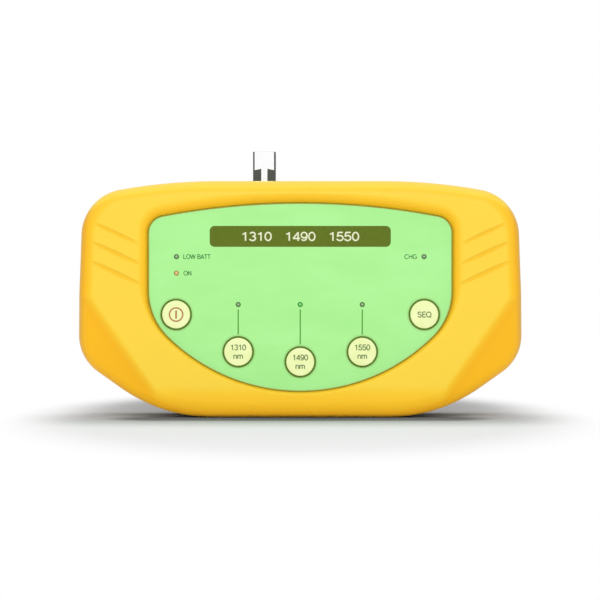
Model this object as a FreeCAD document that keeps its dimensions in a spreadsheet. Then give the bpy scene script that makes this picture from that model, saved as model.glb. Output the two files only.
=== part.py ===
import FreeCAD, Part
import math
import os
import re
import Sketcher

# Handheld optical light source, in millimetres: X to the right, Z up, the front face looks along -Y.
# The origin is the middle of the standing edge. Every size below becomes a cell of the sheet,
# and each sub-part is an object of the document whose sizes are bound to those cells.

SIZES = (
    # case outline, seen from the front
    ("case_width", 181.3),
    ("case_height", 96.3),
    ("front_depth", 24.0),
    ("rear_depth", 24.0),
    ("wall", 2.4),
    ("crown_inset", 56.55),
    ("crown_radius", 223.0),
    ("corner_radius", 19.1),
    ("side_draft", 2.0),
    ("lower_corner_radius", 17.6),
    ("slope_angle", 34.5),
    ("base_radius", 68.6),
    ("base_inset", 55.75),
    ("face_round", 6.5),
    ("back_round", 6.0),
    # flat facets across the two lower front corners
    ("facet_side", 56.4),
    ("facet_run", 39.5),
    ("facet_angle", 28.0),
    ("facet_round", 5.0),
    # grip grooves, as a large disc cutter leaves them
    ("grip_inset", 15.25),
    ("grip_height", 67.0),
    ("grip_pitch", 8.0),
    ("grip_angle", 24.5),
    ("grip_depth", 0.45),
    ("grip_disc", 210.0),
    ("grip_disc_step", 48.0),
    ("grip_width", 2.3),
    ("grip_floor", 0.8),
    ("grip_lift", 3.0),
    # front overlay and the recess that it lies in
    ("label_width", 123.6),
    ("top_bar", 9.0),
    ("label_bottom", 10.6),
    ("label_top_radius", 299.0),
    ("label_corner_radius", 7.0),
    ("label_lower_radius", 26.4),
    ("label_bottom_radius", 77.0),
    ("label_gap", 0.2),
    ("label_thickness", 0.4),
    ("recess_depth", 3.0),
    ("rim_top", 4.8),
    ("rim_side", 4.2),
    ("rim_bottom", 1.2),
    ("rim_lower", 10.5),
    ("panel_wall", 2.0),
    ("panel_margin", 1.6),
    # joint between the two halves, bosses, inserts and case screws
    ("lip_height", 2.0),
    ("lip_start", 1.3),
    ("lip_gap", 0.15),
    ("boss_radius", 4.0),
    ("boss_side_inset", 14.0),
    ("boss_top_inset", 20.0),
    ("boss_lower_inset", 24.0),
    ("boss_lower_height", 30.0),
    ("insert_radius", 2.0),
    ("insert_length", 6.0),
    ("screw_radius", 1.5),
    ("screw_head_radius", 2.75),
    ("screw_head_height", 2.4),
    ("screw_seat", 10.0),
    ("screw_drive", 2.0),
    ("screw_clear", 0.2),
    ("head_clear", 0.45),
    ("thread_gap", 0.05),
    # keys, plungers and switches
    ("outer_key_offset", 50.4),
    ("outer_key_height", 41.9),
    ("inner_key_offset", 25.2),
    ("inner_key_height", 26.75),
    ("centre_key_height", 22.65),
    ("key_radius", 5.8),
    ("key_clear", 0.35),
    ("key_proud", 0.8),
    ("key_edge", 0.6),
    ("key_flange_radius", 7.0),
    ("key_flange", 1.2),
    ("key_gap", 0.1),
    ("plunger_radius", 1.7),
    ("plunger_stand", 0.8),
    ("plunger_depth", 1.5),
    ("plunger_clear", 0.35),
    ("switch_side", 6.0),
    ("switch_height", 3.3),
    # indicator lights
    ("status_light_offset", 50.3),
    ("low_light_height", 65.4),
    ("power_light_height", 58.7),
    ("wave_light_offset", 25.2),
    ("wave_light_height", 45.95),
    ("light_radius", 1.0),
    ("light_clear", 0.1),
    ("light_base_radius", 1.5),
    ("light_base_height", 2.0),
    ("light_proud", 0.1),
    # main board and what it carries
    ("board_width", 120.0),
    ("board_bottom", 14.0),
    ("board_top_gap", 14.0),
    ("board_cut", 14.0),
    ("board_thickness", 1.6),
    ("board_boss_radius", 3.0),
    ("board_screw_radius", 1.25),
    ("board_head_radius", 2.3),
    ("board_head_height", 1.6),
    ("board_screw_length", 5.0),
    ("board_upper_offset", 45.0),
    ("board_upper_inset", 8.0),
    ("board_lower_offset", 40.0),
    ("board_lower_height", 31.0),
    ("control_offset", 38.0),
    ("control_drop", 26.0),
    ("memory_drop", 8.0),
    ("driver_drop", 6.0),
    ("supply_offset", 49.0),
    ("inductor_drop", 38.0),
    ("inductor_pitch", 10.0),
    ("capacitor_drop", 18.0),
    ("reserve_offset", 52.0),
    ("reserve_drop", 32.0),
    ("control_chip_side", 10.0),
    ("control_chip_height", 1.4),
    ("small_chip_width", 5.0),
    ("small_chip_length", 4.0),
    ("small_chip_height", 1.5),
    ("inductor_radius", 3.4),
    ("inductor_height", 3.2),
    ("capacitor_radius", 2.5),
    ("capacitor_height", 5.8),
    ("header_width", 7.0),
    ("header_length", 5.0),
    ("header_height", 6.0),
    # fibre port
    ("port_offset", 14.8),
    ("port_width", 9.3),
    ("port_depth", 13.0),
    ("port_proud", 12.6),
    ("port_length", 29.5),
    ("port_flange", 22.0),
    ("port_flange_thickness", 1.8),
    ("port_gap", 0.15),
    ("socket_width", 7.5),
    ("socket_depth", 9.1),
    ("keyway_width", 2.2),
    ("keyway_depth", 6.0),
    ("clip_width", 8.0),
    ("clip_plate", 7.0),
    ("clip_slant", 0.6),
    ("clip_top", 0.05),
    ("tongue_width", 2.5),
    ("clip_thickness", 0.4),
    ("clip_bed", 0.3),
    ("latch_plate", 1.5),
    ("latch_radius", 2.3),
    ("latch_fit", 0.1),
    ("hook_width", 3.2),
    ("hook_thickness", 0.8),
    ("hook_reach", 5.5),
    ("sleeve_radius", 1.6),
    ("sleeve_length", 11.4),
    ("sleeve_slit", 0.5),
    ("ferrule_radius", 1.249),
    ("ferrule_fit", 0.021),
    ("plug_width", 7.2),
    ("plug_depth", 8.8),
    ("plug_entry", 7.5),
    ("plug_length", 20.0),
    ("boot_length", 16.0),
    ("boot_radius", 2.8),
    ("fibre_radius", 0.45),
    # lasers and the wavelength combiner
    ("laser_offset", 13.0),
    ("laser_pitch", 8.5),
    ("laser_radius", 3.1),
    ("laser_top_gap", 20.0),
    ("laser_length", 26.0),
    ("laser_fit", 0.05),
    ("clamp_height", 8.0),
    ("clamp_edge", 1.9),
    ("combiner_offset", 2.0),
    ("combiner_radius", 2.75),
    ("combiner_top_gap", 12.0),
    ("combiner_length", 34.0),
    ("clip_block", 8.0),
    ("clip_length", 5.0),
    ("fibre_pitch", 1.2),
    ("fibre_run", 5.8),
    ("fibre_bend", 4.8),
    ("output_bend", 7.5),
    # battery
    ("cell_radius", 7.1),
    ("cell_length", 50.0),
    ("cell_edge", 0.8),
    ("wrap_gap", 0.1),
    ("wrap_thickness", 0.3),
    ("tape_thickness", 0.8),
    ("battery_bottom", 7.0),
    ("rib_thickness", 2.0),
    ("rib_offset", 20.0),
    ("rib_gap", 0.2),
    ("wire_radius", 0.6),
    ("wire_bend", 4.0),
    ("wire_pitch", 2.5),
    ("battery_header_offset", 46.0),
    ("battery_header_height", 26.0),
    # charging jack
    ("jack_offset", 38.0),
    ("jack_setback", 9.0),
    ("jack_sink", 0.3),
    ("jack_barrel", 4.2),
    ("jack_body", 5.2),
    ("jack_bore", 3.15),
    ("jack_bore_depth", 9.5),
    ("jack_length", 12.0),
    ("jack_clear", 0.3),
    ("jack_pin_radius", 1.0),
    ("jack_drop", 9.0),
)

V = FreeCAD.Vector
UP_TO_FRONT = FreeCAD.Rotation(V(1, 0, 0), 90)
NAMES = {alias for alias, value in SIZES}

doc = FreeCAD.newDocument("optical_light_source")
sheet = doc.addObject("Spreadsheet::Sheet", "Sizes")
for row, (alias, value) in enumerate(SIZES, start=1):
    sheet.set(f"A{row}", alias)
    sheet.set(f"B{row}", str(value))
    sheet.setAlias(f"B{row}", alias)
doc.recompute()

# Distances in front of the joint between the halves, each derived from the one before it.
FACE = "front_depth"
LABEL = FACE + " - recess_depth"
SEAT = LABEL + " - label_thickness"
PANEL = SEAT + " - panel_wall"
FLANGE_FRONT = PANEL + " - key_gap"
FLANGE_BACK = FLANGE_FRONT + " - key_flange"
SWITCH_TOP = FLANGE_BACK + " - plunger_stand"
BOARD_FRONT = SWITCH_TOP + " - switch_height"
BOARD_BACK = BOARD_FRONT + " - board_thickness"

# Half lengths of the two straight edges, measured in from the sides.
BASE_END = "(case_width / 2 - base_inset)"
CROWN_END = "(case_width / 2 - crown_inset)"

# Heights that hang from the top of the case.
LABEL_TOP = "(case_height - top_bar)"
BOARD_TOP = "(case_height - board_top_gap)"
LASER_FOOT = "(case_height - laser_top_gap - laser_length)"
COMBINER_FOOT = "(case_height - combiner_top_gap - combiner_length)"

# Places on the front, as (across, up).
KEYS = {
    "power_key": ("-outer_key_offset", "outer_key_height"),
    "key_1310": ("-inner_key_offset", "inner_key_height"),
    "key_1490": ("0", "centre_key_height"),
    "key_1550": ("inner_key_offset", "inner_key_height"),
    "sequence_key": ("outer_key_offset", "outer_key_height"),
}
LIGHTS = {
    "low_battery_light": ("-status_light_offset", "low_light_height"),
    "power_light": ("-status_light_offset", "power_light_height"),
    "charge_light": ("status_light_offset", "low_light_height"),
    "light_1310": ("-wave_light_offset", "wave_light_height"),
    "light_1490": ("0", "wave_light_height"),
    "light_1550": ("wave_light_offset", "wave_light_height"),
}
CASE_BOSSES = [
    (side + across, up)
    for across, up in (
        ("(case_width / 2 - boss_side_inset)", "case_height - boss_top_inset"),
        ("(case_width / 2 - boss_lower_inset)", "boss_lower_height"),
    )
    for side in ("-", "")
]
BOARD_BOSSES = [
    (side + across, up)
    for across, up in (
        ("board_upper_offset", f"{BOARD_TOP} - board_upper_inset"),
        ("board_lower_offset", "board_lower_height"),
    )
    for side in ("-", "")
]

nodes = {}


def bound(text):
    """Turn the size names in a formula into references to the sheet."""
    return re.sub(r"[a-z_]+", lambda word: "Sizes." + word[0] if word[0] in NAMES else word[0], text)


def number(text):
    """Value of a formula, read from the sheet."""
    return float(sheet.evalExpression(bound(text)))


def keep(label, piece, turn=None, across="0", back="0", up="0"):
    """Name a finished piece and put it in its place, with the place bound to the sheet."""
    piece.Label = label
    if turn is not None:
        piece.Placement = FreeCAD.Placement(V(0, 0, 0), turn)
    for axis, text in (("x", across), ("y", back), ("z", up)):
        piece.setExpression(f"Placement.Base.{axis}", bound(text))
    nodes[label] = piece
    return piece


def group(label, pieces):
    """Several separate solids that share one node."""
    compound = doc.addObject("Part::Compound", label)
    compound.Links = pieces
    return keep(label, compound)


def new_body(name):
    body = doc.addObject("PartDesign::Body", name)
    body.AllowCompound = True
    return body


def origin_plane(body, role):
    return next(feature for feature in body.Origin.OriginFeatures if feature.Role == role)


def new_sketch(body, plane="XY_Plane", offset="0"):
    """Sketch on one of the body's own planes, moved along its normal."""
    sketch = body.newObject("Sketcher::SketchObject", body.Name + "_sketch")
    sketch.AttachmentSupport = [(origin_plane(body, plane), "")]
    sketch.MapMode = "FlatFace"
    sketch.setExpression("AttachmentOffset.Base.z", bound(offset))
    return sketch


def tilted_sketch(body, origin, x_axis, y_axis):
    """Sketch on a plane that stands across the front face."""
    sketch = body.newObject("Sketcher::SketchObject", body.Name + "_sketch")
    sketch.AttachmentSupport = [(origin_plane(body, "XY_Plane"), "")]
    sketch.MapMode = "FlatFace"
    turn = FreeCAD.Rotation(x_axis, y_axis, x_axis.cross(y_axis), "ZXY")
    sketch.AttachmentOffset = FreeCAD.Placement(origin, turn)
    return sketch


def constrain(sketch, text, kind, *where, unit=""):
    """Add one dimension and bind it to the sheet."""
    value = number(text)
    if unit:
        value = math.radians(value)
    index = sketch.addConstraint(Sketcher.Constraint(kind, *where, value))
    name = f"size_{index}"
    sketch.renameConstraint(index, name)
    sketch.setExpression(f"Constraints.{name}", f"({bound(text)}){unit}")


def locate(sketch, geometry, point, across, up):
    constrain(sketch, across, "DistanceX", -1, 1, geometry, point)
    constrain(sketch, up, "DistanceY", -1, 1, geometry, point)


def polygon(sketch, corners):
    """Closed line through corners, each corner bound to the sheet."""
    points = [V(number(across), number(up), 0) for across, up in corners]
    first = sketch.GeometryCount
    count = len(points)
    for i in range(count):
        sketch.addGeometry(Part.LineSegment(points[i], points[(i + 1) % count]))
    for i in range(count):
        following = first + (i + 1) % count
        sketch.addConstraint(Sketcher.Constraint("Coincident", first + i, 2, following, 1))
    for i, (across, up) in enumerate(corners):
        locate(sketch, first + i, 1, across, up)


def rectangle(sketch, left, right, low, high):
    polygon(sketch, [(left, low), (right, low), (right, high), (left, high)])


def circle(sketch, across, up, radius):
    centre = V(number(across), number(up), 0)
    index = sketch.addGeometry(Part.Circle(centre, V(0, 0, 1), number(radius)))
    locate(sketch, index, 3, across, up)
    constrain(sketch, radius, "Radius", index)


def feature(body, kind, sketch, length=None, reverse=False):
    """Pad, pocket or another feature made from one sketch."""
    made = body.newObject("PartDesign::" + kind, f"{body.Name}_{kind.lower()}")
    made.Profile = sketch
    if length is not None:
        made.setExpression("Length", bound(length))
    made.Reversed = reverse
    sketch.Visibility = False
    return made


def mirror(body, originals):
    """Repeat features on the other side of the case."""
    made = body.newObject("PartDesign::Mirrored", body.Name + "_mirror")
    made.Originals = originals
    made.MirrorPlane = (origin_plane(body, "YZ_Plane"), [""])
    body.Tip = made


def rounded(body, edges, radius):
    base = body.Tip
    made = body.newObject("PartDesign::Fillet", body.Name + "_fillet")
    made.Base = (base, edges)
    made.setExpression("Radius", bound(radius))
    doc.recompute()


def turned(name, profile):
    """Body of revolution about Z, from a profile of (radius, height) corners."""
    body = new_body(name)
    sketch = new_sketch(body, "XZ_Plane")
    polygon(sketch, profile)
    made = feature(body, "Revolution", sketch)
    made.ReferenceAxis = (sketch, ["V_Axis"])
    return body


def boolean(kind, name, base, tools):
    made = doc.addObject("Part::" + kind, name)
    if kind == "Cut":
        made.Base = base
        made.Tool = tools
    else:
        made.Shapes = [base] + tools
    made.Refine = True
    return made


def joined_outline(sketch, parts):
    """Tangent chain of arcs (centre, radius, start and end angle) with lines where two arcs part."""
    arcs = []
    lines = []
    chain = []
    for i, (centre, radius, start, end) in enumerate(parts):
        whole = Part.Circle(centre, V(0, 0, 1), radius)
        arc = Part.ArcOfCircle(whole, math.radians(start), math.radians(end))
        arcs.append(sketch.addGeometry(arc))
        chain.append(arcs[-1])
        following, next_radius, next_start, next_end = parts[(i + 1) % len(parts)]
        turn = math.radians(next_start)
        goal = following + V(math.cos(turn), math.sin(turn), 0) * next_radius
        if arc.EndPoint.distanceToPoint(goal) > 1e-6:
            lines.append(sketch.addGeometry(Part.LineSegment(arc.EndPoint, goal)))
            chain.append(lines[-1])
    for i, index in enumerate(chain):
        following = chain[(i + 1) % len(chain)]
        sketch.addConstraint(Sketcher.Constraint("Tangent", index, 2, following, 1))
    return arcs, lines


def case_outline(sketch, inset="0"):
    """Outline of the case from the front, or a parallel line inside it."""
    slope = number("slope_angle")
    draft = number("side_draft")
    lower = number("lower_corner_radius")
    corner = number("corner_radius")
    slip = number("lower_corner_radius - base_radius")
    base_centre = V(number(BASE_END), number("base_radius"), 0)
    along = V(math.cos(math.radians(slope)), math.sin(math.radians(slope)), 0)
    lower_across = number("case_width / 2 - lower_corner_radius")
    run = (lower_across - base_centre.x + slip * along.y) / along.x
    lower_centre = V(lower_across, base_centre.y + run * along.y + slip * along.x, 0)
    side_out = V(math.cos(math.radians(draft)), math.sin(math.radians(draft)), 0)
    side_up = V(-side_out.y, side_out.x, 0)
    crown_centre = V(number(CROWN_END), number("case_height - crown_radius"), 0)
    foot = side_out * (lower_centre.dot(side_out) + lower - corner)
    reach = number("crown_radius") - corner
    offset = foot - crown_centre
    drop = offset.dot(side_up)
    climb = math.sqrt(drop * drop - offset.dot(offset) + reach * reach) - drop
    corner_centre = foot + side_up * climb
    arm = corner_centre - crown_centre
    crown_end = math.degrees(math.atan2(arm.y, arm.x))
    trim = number(inset)
    right = [
        (base_centre, number("base_radius") - trim, -90.0, slope - 90.0),
        (lower_centre, lower - trim, slope - 90.0, draft),
        (corner_centre, corner - trim, draft, crown_end),
        (crown_centre, number("crown_radius") - trim, crown_end, 90.0),
    ]
    left = [
        (V(-centre.x, centre.y, 0), radius, 180.0 - end, 180.0 - start)
        for centre, radius, start, end in reversed(right)
    ]
    arcs, lines = joined_outline(sketch, right + left)
    radii = ("base_radius", "lower_corner_radius", "corner_radius", "crown_radius")
    for i, radius in enumerate(radii):
        constrain(sketch, f"{radius} - ({inset})", "Radius", arcs[i])
        sketch.addConstraint(Sketcher.Constraint("Equal", arcs[i], arcs[7 - i]))
    locate(sketch, arcs[0], 3, BASE_END, "base_radius")
    locate(sketch, arcs[7], 3, f"-{BASE_END}", "base_radius")
    locate(sketch, arcs[3], 3, CROWN_END, "case_height - crown_radius")
    locate(sketch, arcs[4], 3, f"-{CROWN_END}", "case_height - crown_radius")
    constrain(sketch, "case_width / 2 - lower_corner_radius", "DistanceX", -1, 1, arcs[1], 3)
    sketch.addConstraint(Sketcher.Constraint("Symmetric", arcs[1], 3, arcs[6], 3, -2))
    constrain(sketch, "slope_angle", "Angle", lines[0], unit=" * 1deg")
    constrain(sketch, "90 + side_draft", "Angle", lines[1], unit=" * 1deg")
    sketch.addConstraint(Sketcher.Constraint("Horizontal", arcs[2], 3, arcs[5], 3))


def label_outline(sketch, top="0", side="0", bottom="0", lower="0"):
    """Outline of the front overlay, grown by the given amounts."""
    half = number(f"label_width / 2 + {side}")
    high_radius = number(f"label_top_radius + {top}")
    high_centre = V(0, number(f"{LABEL_TOP} - label_top_radius"), 0)
    corner = number(f"label_corner_radius + {side}")
    low_radius = number(f"label_bottom_radius + {bottom}")
    low_centre = V(0, number("label_bottom + label_bottom_radius"), 0)
    sweep = number(f"label_lower_radius + {lower}")
    corner_drop = math.sqrt((high_radius - corner) ** 2 - (half - corner) ** 2)
    sweep_drop = math.sqrt((low_radius - sweep) ** 2 - (half - sweep) ** 2)
    corner_centre = V(half - corner, high_centre.y + corner_drop, 0)
    sweep_centre = V(half - sweep, low_centre.y - sweep_drop, 0)
    high = math.degrees(math.atan2(corner_drop, half - corner))
    low = math.degrees(math.atan2(-sweep_drop, half - sweep))
    parts = [
        (low_centre, low_radius, -180.0 - low, low),
        (sweep_centre, sweep, low, 0.0),
        (corner_centre, corner, 0.0, high),
        (high_centre, high_radius, high, 180.0 - high),
        (V(-corner_centre.x, corner_centre.y, 0), corner, 180.0 - high, 180.0),
        (V(-sweep_centre.x, sweep_centre.y, 0), sweep, 180.0, 180.0 - low),
    ]
    arcs, lines = joined_outline(sketch, parts)
    constrain(sketch, f"label_bottom_radius + {bottom}", "Radius", arcs[0])
    constrain(sketch, f"label_lower_radius + {lower}", "Radius", arcs[1])
    constrain(sketch, f"label_corner_radius + {side}", "Radius", arcs[2])
    constrain(sketch, f"label_top_radius + {top}", "Radius", arcs[3])
    sketch.addConstraint(Sketcher.Constraint("Equal", arcs[2], arcs[4]))
    sketch.addConstraint(Sketcher.Constraint("Equal", arcs[1], arcs[5]))
    locate(sketch, arcs[0], 3, "0", "label_bottom + label_bottom_radius")
    locate(sketch, arcs[3], 3, "0", f"{LABEL_TOP} - label_top_radius")
    for line, sign in zip(lines, ("", "-")):
        sketch.addConstraint(Sketcher.Constraint("Vertical", line))
        constrain(sketch, f"{sign}(label_width / 2 + {side})", "DistanceX", -1, 1, line, 1)


def crease_edges(shape):
    """Edges where the flat front meets the facets."""
    flats = [
        face for face in shape.Faces
        if face.Surface.TypeId == "Part::GeomPlane"
        and abs(face.normalAt(0, 0).z) > 0.5
        and face.BoundBox.ZMax > 1
    ]
    names = []
    for i, edge in enumerate(shape.Edges, start=1):
        owners = [face for face in flats if any(edge.isSame(other) for other in face.Edges)]
        if len(owners) == 2:
            names.append(f"Edge{i}")
    return names


def rim_edges(shape):
    """Edges at the far end of the side walls, all the way round."""
    names = []
    walls = []
    for face in shape.Faces:
        box = face.BoundBox
        touches = min(abs(box.ZMin), abs(box.ZMax)) < 0.01
        if touches and box.ZLength > 1:
            walls.extend(face.Edges)
    for i, edge in enumerate(shape.Edges, start=1):
        box = edge.BoundBox
        clear = min(abs(box.ZMin), abs(box.ZMax)) > 0.5
        across = max(box.XLength, box.YLength) > 1e-6
        if clear and across and any(edge.isSame(other) for other in walls):
            names.append(f"Edge{i}")
    return names


def lower_facet(body, inset):
    """Flat facet across a lower corner; the same facet on the other side is mirrored."""
    face = number("front_depth")
    start = V(-number("case_width / 2"), number("facet_side"), face)
    end = V(-number("case_width / 2 - facet_run"), 0, face)
    along = (end - start).normalize()
    outward = V(along.y, -along.x, 0)
    tilt = math.radians(number("facet_angle"))
    normal = outward * math.sin(tilt) + V(0, 0, math.cos(tilt))
    origin = start - along * number("case_height / 2") - normal * number(inset)
    sketch = tilted_sketch(body, origin, outward, V(0, 0, 1))
    rise = "case_height / 2 * tan(facet_angle * 1deg)"
    polygon(sketch, [
        ("-case_height / 2", rise),
        ("case_height / 2", f"-({rise})"),
        ("case_height / 2", rise),
    ])
    cut = feature(body, "Pocket", sketch, "case_width")
    doc.recompute()
    mirror(body, [cut])
    doc.recompute()


def half_case(name, depth, inset, front, edge_round):
    """Solid block of one half of the case, or of the hollow inside it."""
    body = new_body(name)
    sketch = new_sketch(body)
    case_outline(sketch, inset)
    feature(body, "Pad", sketch, depth, reverse=not front)
    doc.recompute()
    if front:
        lower_facet(body, inset)
        rounded(body, crease_edges(body.Shape), "facet_round")
    rounded(body, rim_edges(body.Shape), edge_round)
    return body


def port_opening(body):
    """Window in the top wall for the fibre port, open at the joint between the halves."""
    window = new_sketch(body, "XZ_Plane", "-(case_height - 3 * wall)")
    left = "-port_offset - port_width / 2 - port_gap"
    right = "-port_offset + port_width / 2 + port_gap"
    rectangle(window, left, right, "-port_depth / 2 - port_gap", "port_depth / 2 + port_gap")
    feature(body, "Pocket", window, "4 * wall")


def posts(name, places, radius, low, length):
    """Round posts, all in one body."""
    body = new_body(name)
    sketch = new_sketch(body, offset=low)
    for across, up in places:
        circle(sketch, across, up, radius)
    feature(body, "Pad", sketch, length)
    return body


# Front shell: facets, rolled edge, sunk overlay seat with a rolled rim, grooves and openings.
front_block = half_case("front_block", "front_depth", "0", True, "face_round")
grooves = []
for step in (-1, 0, 1):
    tilt = math.radians(number("grip_angle"))
    level = number(f"grip_height + {step} * grip_pitch")
    centre = V(-number("case_width / 2 - grip_inset"), level, number("front_depth"))
    cut = tilted_sketch(front_block, centre, V(math.sin(tilt), math.cos(tilt), 0), V(0, 0, 1))
    flare = "(grip_floor / 2 + (grip_width - grip_floor) / 2 / grip_depth * (grip_depth + grip_lift))"
    polygon(cut, [
        ("-grip_floor / 2", "-grip_depth"),
        ("grip_floor / 2", "-grip_depth"),
        (flare, "grip_lift"),
        (f"-{flare}", "grip_lift"),
    ])
    above = f"grip_disc - {step} * grip_disc_step - grip_depth"
    hub = number(above)
    axis = cut.addGeometry(Part.LineSegment(V(-1, hub, 0), V(1, hub, 0)), True)
    locate(cut, axis, 1, "-1", above)
    locate(cut, axis, 2, "1", above)
    groove = feature(front_block, "Groove", cut)
    groove.ReferenceAxis = (cut, ["Axis0"])
    grooves.append(groove)
doc.recompute()
mirror(front_block, grooves)

seat = new_sketch(front_block, offset=LABEL)
label_outline(seat, "label_gap", "label_gap", "label_gap", "label_gap")
feature(front_block, "Pocket", seat, "label_thickness")
sections = []
for out, forward in ((0.0, 0.0), (0.134, 0.5), (0.5, 0.866), (1.0, 1.0)):
    section = new_sketch(front_block, offset=f"{LABEL} + {forward} * recess_depth")
    label_outline(
        section,
        f"label_gap + {out} * rim_top",
        f"label_gap + {out} * rim_side",
        f"label_gap + {out} * rim_bottom",
        f"label_gap + {out} * rim_lower",
    )
    sections.append(section)
rim = feature(front_block, "SubtractiveLoft", sections[0])
rim.Sections = sections[1:]
openings = new_sketch(front_block, offset=LABEL)
for across, up in KEYS.values():
    circle(openings, across, up, "key_radius + key_clear")
for across, up in LIGHTS.values():
    circle(openings, across, up, "light_radius + light_clear")
feature(front_block, "Pocket", openings, "label_thickness + panel_wall + wall")
rebate = new_sketch(front_block)
case_outline(rebate, "lip_start")
feature(front_block, "Pocket", rebate, "lip_height + lip_gap", reverse=True)
port_opening(front_block)

front_hollow = half_case("front_hollow", "front_depth - wall", "wall", True, "face_round - wall")
thick = new_sketch(front_hollow, offset="front_depth")
label_outline(
    thick,
    "rim_top + panel_margin",
    "rim_side + panel_margin",
    "rim_bottom + panel_margin",
    "rim_lower + panel_margin",
)
feature(front_hollow, "Pocket", thick, f"front_depth - ({PANEL})")

front_posts = posts("front_posts", CASE_BOSSES, "boss_radius", "0", "front_depth - wall / 2")
inserts_at = new_sketch(front_posts)
for across, up in CASE_BOSSES:
    circle(inserts_at, across, up, "insert_radius + thread_gap")
feature(front_posts, "Pocket", inserts_at, "insert_length + 4", reverse=True)
board_stand = f"({PANEL}) - ({BOARD_FRONT}) + panel_wall / 2"
board_posts = posts("board_posts", BOARD_BOSSES, "board_boss_radius", BOARD_FRONT, board_stand)
threads = new_sketch(board_posts, offset=BOARD_FRONT)
for across, up in BOARD_BOSSES:
    circle(threads, across, up, "board_screw_radius + thread_gap")
feature(board_posts, "Pocket", threads, "board_screw_length", reverse=True)

front_empty = boolean("Cut", "front_empty", front_block, front_hollow)
front_shell = boolean("MultiFuse", "front_shell", front_empty, [front_posts, board_posts])
keep("front_shell", front_shell, UP_TO_FRONT)

# Rear cover: rounded back, lip into the front shell, screw towers, battery cradle and jack opening.
rear_block = half_case("rear_block", "rear_depth", "0", False, "back_round")
lip = new_sketch(rear_block)
case_outline(lip, "lip_start + lip_gap")
feature(rear_block, "Pad", lip, "lip_height")
port_opening(rear_block)
jack_hole = new_sketch(rear_block, "XZ_Plane", "-(case_height - 3 * wall)")
circle(jack_hole, "jack_offset", "-jack_setback", "jack_barrel + jack_clear")
feature(rear_block, "Pocket", jack_hole, "4 * wall")

rear_hollow = half_case("rear_hollow", "rear_depth - wall", "wall", False, "back_round - wall")
lip_hollow = new_sketch(rear_hollow)
case_outline(lip_hollow, "wall")
feature(rear_hollow, "Pad", lip_hollow, "lip_height + 1")

tower = "rear_depth - wall / 2"
rear_posts = posts("rear_posts", CASE_BOSSES, "boss_radius", f"-({tower})", tower)
head_bore = "screw_head_radius + head_clear"
shafts = new_sketch(rear_posts)
heads = new_sketch(rear_posts, offset="-rear_depth - 1")
for across, up in CASE_BOSSES:
    circle(shafts, across, up, "screw_radius + screw_clear")
    circle(heads, across, up, head_bore)
feature(rear_posts, "Pocket", shafts, "rear_depth + 1")
feature(rear_posts, "Pocket", heads, "rear_depth + 1 - screw_seat", reverse=True)
rear_shafts = posts("rear_shafts", CASE_BOSSES, head_bore, "-rear_depth - 1", "wall + 2")

WRAP = "cell_radius + wrap_gap + wrap_thickness"
CELL_BACK = f"rear_depth - wall - tape_thickness - ({WRAP})"
BATTERY_TOP = f"battery_bottom + 2 * ({WRAP}) + 2 * (cell_radius + wrap_gap)"
cradle = new_body("cradle")
for low, high, back, length in (
    ("wall / 2", "battery_bottom", "rear_depth - back_round", "rear_depth / 2"),
    (f"{BATTERY_TOP} + rib_gap", f"{BATTERY_TOP} + rib_gap + rib_thickness", tower, "rear_depth / 2"),
):
    ribs = new_sketch(cradle, offset=f"-({back})")
    for side in ("-", ""):
        left = f"{side}rib_offset - rib_thickness / 2"
        rectangle(ribs, left, f"{left} + rib_thickness", low, high)
    feature(cradle, "Pad", ribs, length)
JACK_FLOOR = "case_height - jack_sink - jack_length"
jack_ribs = new_body("jack_ribs")
shelf = new_sketch(jack_ribs, offset=f"-({tower})")
for side in ("-", ""):
    left = f"jack_offset {side or '+'} (jack_body - rib_thickness / 2) - rib_thickness / 2"
    rectangle(shelf, left, f"{left} + rib_thickness", f"{JACK_FLOOR} - rib_thickness", JACK_FLOOR)
feature(jack_ribs, "Pad", shelf, f"{tower} - jack_setback + jack_body")

rear_empty = boolean("Cut", "rear_empty", rear_block, rear_hollow)
rear_open = boolean("Cut", "rear_open", rear_empty, rear_shafts)
rear_cover = boolean("MultiFuse", "rear_cover", rear_open, [rear_posts, cradle, jack_ribs])
keep("rear_cover", rear_cover, UP_TO_FRONT)


def hexagon(sketch, across_flats):
    corner = f"({across_flats} / sqrt(3))"
    polygon(sketch, [
        (f"{corner} * cos({60 * i}deg)", f"{corner} * sin({60 * i}deg)")
        for i in range(6)
    ])


def machine_screw(name, radius, head_radius, head_height, length, drive):
    """Pan head screw, shank along +Z from the underside of the head, with a hexagon drive."""
    edge = f"0.3 * ({head_height})"
    body = turned(name, [
        ("0", f"-({head_height})"),
        (f"{head_radius} - {edge}", f"-({head_height})"),
        (head_radius, f"-({head_height}) + {edge}"),
        (head_radius, "0"),
        (radius, "0"),
        (radius, f"{length} - {radius} / 2"),
        (f"{radius} / 2", length),
        ("0", length),
    ])
    socket = new_sketch(body, offset=f"-({head_height})")
    hexagon(socket, drive)
    feature(body, "Pocket", socket, f"0.6 * ({head_height})", reverse=True)
    return body


# Case screws and the threaded inserts that they turn into.
screws = []
inserts = []
for i, (across, up) in enumerate(CASE_BOSSES):
    screw = machine_screw(
        f"case_screw_{i}", "screw_radius", "screw_head_radius", "screw_head_height",
        "screw_seat + insert_length", "screw_drive",
    )
    keep(screw.Name, screw, UP_TO_FRONT, across, "screw_seat", up)
    screws.append(nodes.pop(screw.Name))
    insert = turned(f"insert_{i}", [
        ("screw_radius + thread_gap", "0.1"),
        ("insert_radius", "0.1"),
        ("insert_radius", "insert_length"),
        ("screw_radius + thread_gap", "insert_length"),
    ])
    keep(insert.Name, insert, UP_TO_FRONT, across, "0", up)
    inserts.append(nodes.pop(insert.Name))
group("case_screws", screws)
group("threaded_inserts", inserts)

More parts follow.
